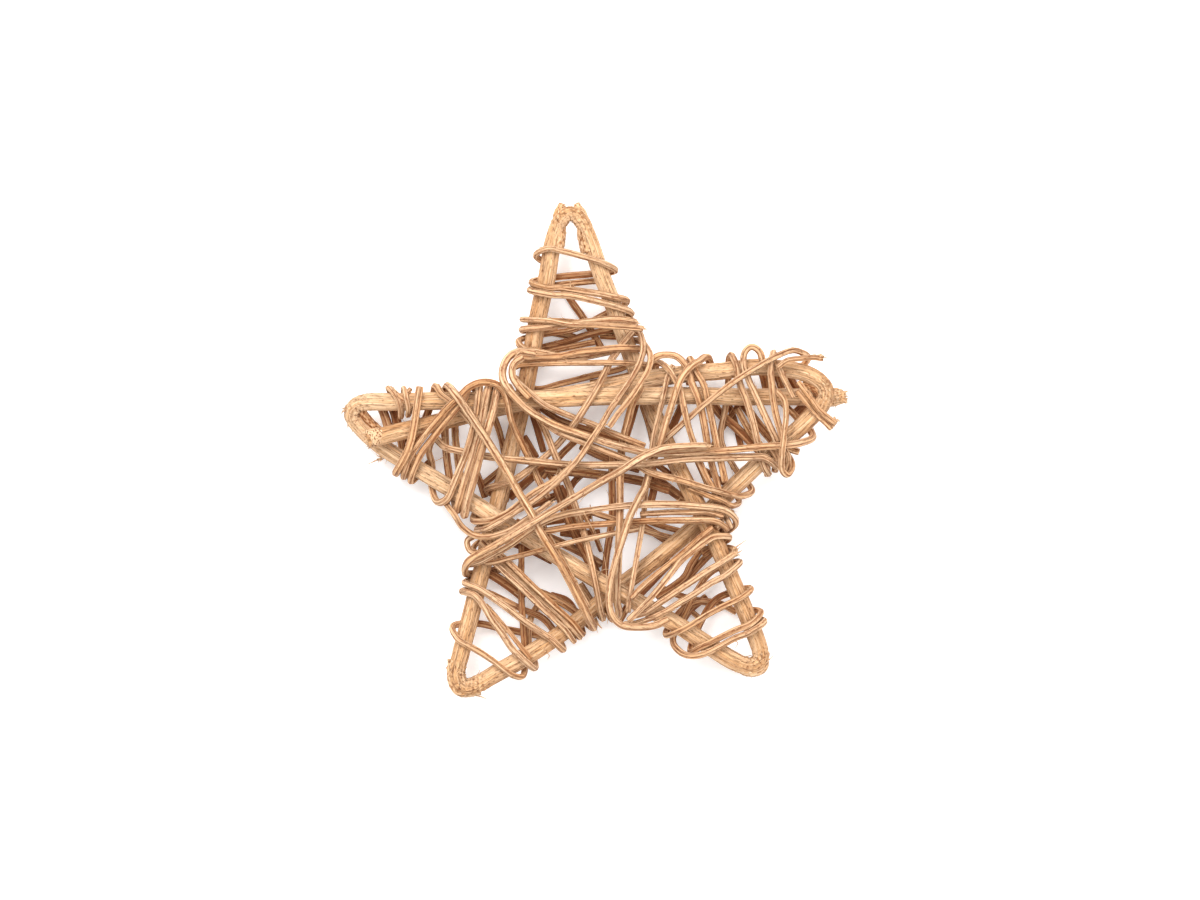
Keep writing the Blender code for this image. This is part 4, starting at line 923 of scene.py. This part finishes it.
# A thickness, a layer for the whole strand or one for each point, and the route.
BEHIND = -1.2
UNDER_STRANDS = (
    (WIDE_STRAND, BEHIND, ((545, 469), (600, 475), (640, 481), (670, 490))),
    (STRAND, BEHIND, ((637, 402), (632, 420), (625, 442))),
    (STRAND, BEHIND, ((643, 404), (649, 422), (655, 446))),
    (THICK_STRAND, BEHIND, ((651, 462), (655, 482), (650, 508))),
    (WIDE_STRAND, BEHIND, ((655, 478), (675, 493), (695, 507))),
    (THICK_STRAND, BEHIND, ((685, 400), (676, 420), (665, 446))),
    (STRAND, BEHIND, ((552, 476), (560, 500), (572, 530), (588, 562), (602, 594))),
    (STRAND, BEHIND, ((560, 486), (572, 512), (585, 545), (599, 579))),
    (WIDE_STRAND, BEHIND, ((712, 400), (722, 414), (738, 428), (762, 452))),
    (THIN_STRAND, BEHIND, ((745, 396), (724, 428), (710, 454))),
    (STRAND, BEHIND, ((728, 398), (736, 420), (743, 448))),
    (WIDE_STRAND, BEHIND, ((744, 402), (760, 424), (780, 448))),
    (THICK_STRAND, BEHIND, ((636, 523), (655, 534), (676, 547))),
    (STRAND, BEHIND, ((475, 472), (480, 485), (484, 498))),
    (STRAND, BEHIND, ((478, 488), (490, 478), (504, 466))),
    (STRAND, 0.6, ((552, 359), (580, 357), (612, 351))),
    (STRAND, 2.2, ((524, 358), (515, 364), (513, 376), (520, 388), (530, 399))),
    (STRAND, BEHIND, ((560, 283), (572, 301), (586, 321), (602, 348))),
    (WIDE_STRAND, BEHIND, ((478, 569), (500, 581), (524, 599))),
    (STRAND, 1.2, ((480, 542), (510, 571), (535, 594), (565, 622), (580, 639))),
    (STRAND, BEHIND, ((706, 546), (692, 565), (683, 580), (656, 598))),
    (STRAND, BEHIND, ((658, 588), (690, 600), (720, 605), (738, 614))),
    (FINE_STRAND, BEHIND, ((581, 510), (593, 532), (601, 552))),
    (WIDE_STRAND, BEHIND, ((378, 402), (383, 414), (388, 430))),
    (WIDE_STRAND, BEHIND, ((389, 402), (394, 415), (397, 430))),
    (STRAND, BEHIND, ((411, 402), (414, 414), (418, 428))),
    (THICK_STRAND, BEHIND, ((397, 434), (400, 450), (396, 466))),
    (THICK_STRAND, BEHIND, ((404, 434), (408, 450), (402, 468))),
    (STRAND, BEHIND, ((536, 404), (560, 420), (592, 431), (620, 440), (642, 451))),
    (STRAND, BEHIND, ((542, 478), (558, 458), (575, 441), (592, 424))),
    (THICK_STRAND, BEHIND, ((580, 446), (600, 456), (640, 470))),
    (WIDE_STRAND, BEHIND, ((508, 498), (525, 483), (547, 464))),
    (STRAND, BEHIND, ((536, 460), (548, 473), (558, 488))),
    (STRAND, BEHIND, ((566, 494), (576, 480), (590, 468))),
    (BROAD_STRAND, BEHIND, ((515, 522), (545, 536), (578, 552), (602, 566))),
    (THIN_STRAND, BEHIND, ((500, 540), (530, 552), (552, 563))),
    (WIDE_STRAND, BEHIND, ((468, 498), (478, 515), (488, 532))),
    (THICK_STRAND, BEHIND, ((672, 562), (655, 580), (638, 598))),
    (THICK_STRAND, BEHIND, ((716, 550), (700, 566), (684, 584))),
    (STRAND, BEHIND, ((708, 598), (692, 611), (683, 624))),
    (FINE_STRAND, BEHIND, ((694, 453), (702, 470), (709, 487))),
    (THIN_STRAND, BEHIND, ((648, 460), (662, 468), (676, 479))),
    (STRAND, (0.8, 0.8, 0.5), ((758, 448), (766, 462), (768, 475))),
    (STRAND, (0.8, 0.8, 0.5), ((768, 446), (776, 459), (775, 472))),
    (THIN_STRAND, 0.8, ((714, 510), (725, 516), (731, 528))),
    (THIN_STRAND, 0.8, ((733, 512), (725, 519), (716, 528))),
    (FINE_STRAND, 0.5, ((390, 388), (397, 394), (406, 402), (412, 409))),
    (FINE_STRAND, 0.5, ((411, 389), (405, 396), (402, 402), (400, 410))),
    (BROAD_STRAND, BEHIND, ((762, 366), (766, 380), (769, 394))),
    (STRAND, BEHIND, ((776, 366), (780, 378), (785, 394))),
    (STRAND, BEHIND, ((787, 370), (795, 382), (801, 394))),
    (WIDE_STRAND, BEHIND, ((812, 398), (804, 407), (797, 414))),
    (STRAND, 0.8, ((782, 443), (790, 449), (799, 452))),
    (STRAND, 1.0, ((783, 446), (788, 458), (786, 472))),
    (STRAND, BEHIND, ((526, 398), (535, 424), (543, 452))),
    (STRAND, BEHIND, ((523, 436), (529, 446), (536, 458))),
    (THIN_STRAND, BEHIND, ((490, 408), (498, 430), (503, 454))),
    (BROAD_STRAND, BEHIND, ((530, 505), (545, 500), (562, 494))),
    (BROAD_STRAND, BEHIND, ((560, 533), (578, 535), (600, 533))),
    (STRAND, BEHIND, ((540, 524), (565, 520), (592, 516))),
    (THIN_STRAND, (1.0, 0.8, 1.0, 1.0), ((474, 536), (467, 541), (470, 551), (480, 553))),
    (THIN_STRAND, BEHIND, ((648, 522), (663, 527), (682, 532))),
    (STRAND, BEHIND, ((619, 624), (626, 611), (634, 597))),
    (THIN_STRAND, BEHIND, ((681, 604), (691, 612), (702, 621))),
)

# Those at the back start high, so that each ends up pressed against what it runs behind.
START_HIGH = 0.006
# Least height above the table in radii, and how much painted shade darkens the strands at the back and the
# others.
RESTING_HEIGHT = 1.15
DARKER_BEHIND = 0.18
DARKER = 0.05

under_radii = [thickness / 2 for thickness, _, _ in UNDER_STRANDS]
for line, z in zip(lines, heights):
    line[:, 2] = z
under_lines = []
for (_, layer, route), radius in zip(UNDER_STRANDS, under_radii):
    points = np.column_stack([on_drawing(route), np.broadcast_to(layer, len(route))])
    under_lines.append(strand_line(points, radius))
for line in under_lines:
    if line[0, 3] < 0:
        line[:, 2] = START_HIGH
under_heights = heights_of(lines + under_lines, radii + under_radii, len(lines))[len(lines) :]
for number, (line, z, radius) in enumerate(zip(under_lines, under_heights, under_radii)):
    # Nothing sinks below the plane that the star lies on.
    z = np.maximum(z, origin[2] + line[:, :2] @ LEAN + RESTING_HEIGHT * radius)
    # Painted shade: the strands at the back are darker, the others a little darker.
    darker = DARKER_BEHIND if line[0, 3] < 0 else DARKER
    strand = split_strand(f"under_strand_{number + 1}", line, z, radius, 900 + 10 * number, darker)
    strand.data.materials.append(split_vine)
    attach(strand, "root")


# Crushed and torn bark. Where the rod was kinked its bark burst and stands off in lumps, and it is ragged
# at one saw cut. Each lump is grown fast to the rod, and torn open it looks like the split strands.
# A name, how much darker it is, and its route: x, y, height in rod diameters, share of the rod's radius.
LUMPS = (
    ("top_bark_left", 0.1, (
        (556, 252, 0, 0.80), (560, 232, 0, 0.66), (558, 216, 0, 0.58), (562, 203, 0, 0.34),
    )),
    ("top_bark_right", 0.1, (
        (588, 252, 0, 0.80), (583, 232, 0, 0.66), (583, 216, 0, 0.56), (576, 203, 0, 0.30),
    )),
    ("left_tip_bark", 0.0, (
        (380, 399, 0.2, 0.62), (365, 400, 0.1, 0.60), (355, 402, 0, 0.52), (349, 406, 0, 0.40),
    )),
    ("right_inner_bark", 0.6, (
        (803, 383, 0.5, 0.35), (812, 387, 0.6, 0.5), (819, 393, 0.6, 0.45), (820, 401, 0.6, 0.3),
    )),
    ("left_low_bark", 0.0, (
        (353, 405, 0, 0.46), (351, 414, -0.1, 0.44), (354, 424, -0.2, 0.36), (363, 432, -0.35, 0.36),
    )),
    ("left_inner_bark", 0.5, (
        (361, 407, 0, 0.4), (363, 414, -0.15, 0.5), (370, 423, -0.3, 0.5), (380, 431, -0.4, 0.4),
    )),
    ("cut_bark", 0.0, (
        (824, 397, -0.42, 0.9), (833, 397, -0.42, 1.0), (839, 396, -0.42, 0.94), (845, 395, -0.42, 0.66),
    )),
    ("right_foot_bark", 0.0, (
        (738, 667, 0, 0.7), (752, 672, 0, 0.66), (763, 669, 0, 0.56), (767, 662, 0, 0.36),
    )),
    ("left_foot_bark", 0.0, (
        (454, 660, 0, 0.75), (453, 680, 0, 0.70), (461, 692, 0, 0.66), (480, 690, 0, 0.66),
    )),
)
LUMP_WAVES = ((3, 1900), (5, -3100), (8, 4100), (13, -700))
LUMP_RELIEF = 0.035
for number, (name, darker, route) in enumerate(LUMPS):
    points = np.array(route, float)
    line = np.column_stack([on_drawing(points[:, :2]), points[:, 2] * (VINE_DIAMETER + GAP), points[:, 3]])
    line = evenly(smooth(line), VINE_STEP)
    along = travelled(line)
    rough = np.zeros((len(line), VINE_SIDES))
    for waves, pace in LUMP_WAVES:
        drift = 2 * wander(along, waves + number, 0.002)
        rough += LUMP_RELIEF * np.cos(waves * turn[None, :] + pace * along[:, None] + drift[:, None])
    shape = line[:, 3:] * VINE_DIAMETER / 2 * (1 + rough)
    wear_and_shade = np.clip(-7 * rough, 0, 0.9)
    lump = skin(name, line[:, :3], shape, 3.0 + number, wear_and_shade, 0.55 - darker + 3 * rough)
    lump.data.materials.append(split_vine)
    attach(lump, "root")


# Loose fibres. Dry vine splinters where it is cut or kinked: fibres fan out of torn ends, shreds of bark
# lift off the bends, and fine hairs stand off the strands, each held only by its root in the wood.
FIBRE_SIDES = 5
FIBRE_POINTS = 6
FIBRE_TAPER = 0.75
HAIR = 0.00022
SHRED = 0.00045


def tufts(name, fibres, thickness, tone_and_shade):
    """One piece of many fibres, each a tapering tube with both ends closed: fibres is an array of lines, all
    of the same number of points, and thickness and tone hold one value for each."""
    count, length, _ = fibres.shape
    ahead = np.gradient(fibres, axis=1)
    ahead /= np.linalg.norm(ahead, axis=2)[..., None]
    side = np.cross(ahead, [0.13, 0.21, 1.0])
    side /= np.linalg.norm(side, axis=2)[..., None]
    up = np.cross(side, ahead)
    turn = np.arange(FIBRE_SIDES) * 2 * np.pi / FIBRE_SIDES
    taper = 1 - FIBRE_TAPER * np.linspace(0, 1, length) ** 2
    reach = thickness[:, None] / 2 * taper[None, :]
    around = np.cos(turn)[:, None] * side[:, :, None] + np.sin(turn)[:, None] * up[:, :, None]
    points = (fibres[:, :, None] + reach[:, :, None, None] * around).reshape(-1, 3)
    tips = len(points) + np.arange(2 * count).reshape(2, count, 1)
    roots, points_of_tips = fibres[:, 0] - ahead[:, 0] * HAIR / 4, fibres[:, -1] + ahead[:, -1] * HAIR / 2
    points = placed(np.vstack([points, roots, points_of_tips]))
    points[:, 2] = np.minimum(points[:, 2], cad_box[1][2])
    first = (np.arange(count)[:, None, None] * length + np.arange(length - 1)[None, :, None]) * FIBRE_SIDES
    i = np.arange(FIBRE_SIDES)
    j = (i + 1) % FIBRE_SIDES
    quads = np.stack([first + i, first + FIBRE_SIDES + i, first + FIBRE_SIDES + j, first + j], axis=3)
    starts = np.arange(count)[:, None] * length * FIBRE_SIDES
    ends = starts + (length - 1) * FIBRE_SIDES
    caps = np.stack([tips[0] + 0 * i, starts + i, starts + j], axis=2).reshape(-1, 3)
    tops = np.stack([tips[1] + 0 * i, ends + j, ends + i], axis=2).reshape(-1, 3)
    faces = quads.reshape(-1, 4).tolist() + caps.tolist() + tops.tolist()
    shades = np.concatenate([np.repeat(tone_and_shade, length * FIBRE_SIDES), tone_and_shade, tone_and_shade])
    piece = dressed_mesh(name, points, faces, points, np.zeros(len(points)), shades)
    piece.data.materials.append(split_vine)
    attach(piece, "root")


every_strand = list(zip(lines + under_lines, [*heights, *under_heights], radii + under_radii))
cores = np.vstack([np.column_stack([line[:, :2], z + radius]) for line, z, radius in every_strand])
# How near a strand and a rod count as lying at a point, and the height where neither does.
NEAR_STRAND = 0.0014
NEAR_ROD = 0.0022
LOWEST_TOP = -0.004


def top_at(point):
    """Height of the uppermost strand or rod within reach of a point of the drawing."""
    found = cores[np.hypot(*(cores[:, :2] - point[:2]).T) < NEAR_STRAND, 2]
    rods = vine_path[np.hypot(*(vine_path[:, :2] - point[:2]).T) < NEAR_ROD]
    return max([*found, *(rods[:, 2] + rods[:, 3] * 0.8), LOWEST_TOP])


END_BREADTH = 0.00045
ROOT_DEPTH = 0.0008


def splayed(dice, start, direction, count, length, spread):
    """Fibres that leave one splintered end side by side and fan out."""
    direction = np.asarray(direction, float) / np.linalg.norm(direction)
    t = np.linspace(0, 1, FIBRE_POINTS)[None, :, None]
    begin = start + dice.normal(0, END_BREADTH, (count, 3))
    reach = length * dice.uniform(0.45, 1.0, (count, 1, 1))
    veer = dice.normal(0, spread, (count, 1, 3))
    return begin[:, None] + reach * (t * direction + t**2 * veer) - ROOT_DEPTH * direction


# Splintered ends: x, y, the way they point on the drawing, fibres, length, spread.
SPLINTERED = (
    (820, 357, 1, 0.1, 10, 0.0022, 0.35), (641, 328, 1, 0, 8, 0.0022, 0.3),
    (570, 288, 0.1, -1, 7, 0.0022, 0.35), (564, 211, -0.3, -1, 9, 0.0030, 0.25),
    (578, 211, 0.35, -1, 9, 0.0030, 0.25), (566, 357, 1, 0.1, 6, 0.0015, 0.2),
    (573, 465, 1, -0.8, 7, 0.0018, 0.25), (551, 502, 1, -0.8, 7, 0.0018, 0.25),
    (706, 446, 1, 0, 7, 0.0018, 0.25), (836, 420, 0.8, 0.6, 5, 0.0016, 0.15),
    (830, 427, 0.7, 0.7, 5, 0.0016, 0.15), (596, 622, 0.2, 1, 14, 0.0032, 0.45),
    (734, 552, 0.8, -0.8, 10, 0.0030, 0.4), (380, 458, -1, 0.8, 9, 0.0026, 0.4),
    (346, 411, -1, 0.4, 9, 0.0022, 0.4), (638, 529, 1, -0.2, 6, 0.0016, 0.25),
    (609, 427, -0.6, 1, 6, 0.0016, 0.25),
)
SUNK = 0.0009
RISE = 0.08
dice = np.random.default_rng(8)
fans = []
for x, y, right, down, count, length, spread in SPLINTERED:
    place = on_drawing([x, y])
    start = np.array([*place, top_at(place) - SUNK])
    fans.append(splayed(dice, start, (right, -down, RISE), count, length, spread))
fans = np.vstack(fans)
tufts("splintered_ends", fans, dice.uniform(0.6, 1.3, len(fans)) * SHRED, dice.uniform(0.3, 0.9, len(fans)))

# Stray fibres, as points on the drawing.
STRAYS = (
    ((445, 455), (441, 458), (437, 460), (432, 462)), ((681, 465), (676, 468), (672, 473), (671, 478)),
    ((797, 417), (793, 413), (788, 410)), ((730, 646), (735, 641), (739, 645), (736, 650)),
    ((605, 614), (608, 619), (607, 626)), ((545, 652), (549, 657), (547, 661)),
    ((598, 573), (606, 570), (618, 573)), ((395, 445), (389, 454), (384, 464)),
    ((672, 482), (676, 472), (682, 464)), ((590, 505), (594, 530), (604, 556), (607, 585), (603, 606)),
    ((584, 512), (592, 528), (602, 552)), ((513, 362), (521, 352), (535, 346)),
)
STRAY_POINTS = 12
ROOT_DROP = 0.0004
STRAY_RISE = 0.0002
strays = []
for route in STRAYS:
    places = on_drawing(route)
    tall = np.array([top_at(place) for place in places])
    tall[0] -= ROOT_DROP
    line = smooth(np.column_stack([places, tall + STRAY_RISE]), 4)
    at = np.linspace(0, len(line) - 1, STRAY_POINTS)
    strays.append(np.column_stack([np.interp(at, np.arange(len(line)), column) for column in line.T]))
tufts("stray_fibres", np.array(strays), np.full(len(strays), 1.5 * HAIR), np.full(len(strays), 0.6))

# Shreds of bark at the kinks, lying along the rod with one end lifted off it, and at its two saw cuts.
SHREDS_AT_A_CUT = 60
rod_ahead, rod_side, rod_up = framed(vine_path[:, :3])
t = np.linspace(0, 1, FIBRE_POINTS)[:, None]
shreds = []
for near in np.nonzero(kinked > 0.15)[0][:: 1]:
    if dice.uniform() > 0.5 * kinked[near]:
        continue
    way = dice.uniform(0, 2 * np.pi)
    out = np.cos(way) * rod_side[near] + np.sin(way) * rod_up[near]
    start = vine_path[near, :3] + out * thickness[near] * 0.97
    heading = rod_ahead[near] * dice.choice([-1, 1]) + dice.normal(0, 0.25, 3)
    reach = dice.uniform(0.0010, 0.0030)
    shreds.append(start + reach * (t * heading + t**2 * out * dice.uniform(0.1, 0.6)))
for end, sign in ((0, -1), (-1, 1)):
    for _ in range(SHREDS_AT_A_CUT):
        way = dice.uniform(0, 2 * np.pi)
        out = np.cos(way) * rod_side[end] + np.sin(way) * rod_up[end]
        rim = dice.uniform(0.55, 0.96) * (0.66 if end == 0 else 1)
        start = vine_path[end, :3] + out * thickness[end] * rim - sign * rod_ahead[end] * 0.0006
        heading = sign * rod_ahead[end] + dice.normal(0, 0.25, 3) + out * dice.uniform(0, 0.5)
        shreds.append(start + dice.uniform(0.0006, 0.0014) * t * heading)
shreds = np.array(shreds)
tufts("bark_shreds", shreds, dice.uniform(0.5, 1.4, len(shreds)) * SHRED, dice.uniform(0.1, 0.9, len(shreds)))

# Hairs that split off the strands.
POINTS_PER_HAIR = 7
hairs = []
for line, z, radius in every_strand:
    middle = np.column_stack([line[:, :2], z])
    for at in dice.integers(1, len(middle) - 1, len(middle) // POINTS_PER_HAIR):
        heading = (middle[at + 1] - middle[at - 1]) * dice.choice([-1, 1])
        heading /= np.linalg.norm(heading)
        out = np.array([-heading[1], heading[0], 0]) * dice.uniform(-1, 1)
        out += np.array([0, 0, dice.uniform(-0.3, 1)])
        out /= np.linalg.norm(out)
        reach = dice.uniform(0.0015, 0.0045)
        bow = t**2 * dice.uniform(0.05, 0.35)
        curl = t**3 * dice.normal(0, 0.15, 3)
        hairs.append(middle[at] + out * radius + reach * (t * heading + bow * out + curl))
hairs = np.array(hairs)
tufts("fine_hairs", hairs, dice.uniform(0.4, 1.1, len(hairs)) * HAIR, dice.uniform(0.2, 0.9, len(hairs)))


# Floor, lights and camera: straight down on the star lying on a white table, in soft even light that
# comes a little stronger from above the picture and from its left.
FLOOR_DROP = 0.0002
bpy.ops.mesh.primitive_plane_add(size=6, location=(0, 0, -FLOOR_DROP))
floor = bpy.context.object
floor.name = "table"
white = bpy.data.materials.new("white_table")
white.use_nodes = True
shader = white.node_tree.nodes["Principled BSDF"]
for socket, value in (
    ("Base Color", (0.92, 0.92, 0.92, 1)), ("Roughness", 0.9), ("Specular IOR Level", 0.0),
    ("Emission Color", (1, 1, 1, 1)), ("Emission Strength", 0.22),
):
    shader.inputs[socket].default_value = value
floor.data.materials.append(white)


def area_light(name, place, size, power):
    """A square soft light that faces the star's middle."""
    light = bpy.data.lights.new(name, "AREA")
    light.size = size
    light.energy = power
    lamp = bpy.data.objects.new(name, light)
    lamp.location = place
    lamp.rotation_euler = (-Vector(place)).to_track_quat("-Z", "Y").to_euler()
    bpy.context.scene.collection.objects.link(lamp)


area_light("key", (-0.22, 0.45, 0.85), 0.5, 9.0)
area_light("fill", (0.5, 0.10, 0.8), 0.7, 3.5)
world = bpy.data.worlds.new("studio")
bpy.context.scene.world = world
world.use_nodes = True
background = world.node_tree.nodes["Background"]
background.inputs["Color"].default_value = (1, 1, 1, 1)
background.inputs["Strength"].default_value = 0.95

bpy.context.scene.view_settings.view_transform = "Standard"

CAMERA_HEIGHT = 1.0
STAR_HALF_HEIGHT = 0.013
PICTURE_WIDTH = 0.36
LENS = 100
view = bpy.data.cameras.new("camera")
view.lens = LENS
view.sensor_width = PICTURE_WIDTH / CAMERA_HEIGHT * LENS
camera = bpy.data.objects.new("camera", view)
bpy.context.scene.collection.objects.link(camera)
bpy.context.scene.camera = camera
middle = on_drawing([600.0, 450.0])
camera.location = (middle[0] - origin[0], middle[1] - origin[1], CAMERA_HEIGHT + STAR_HALF_HEIGHT)
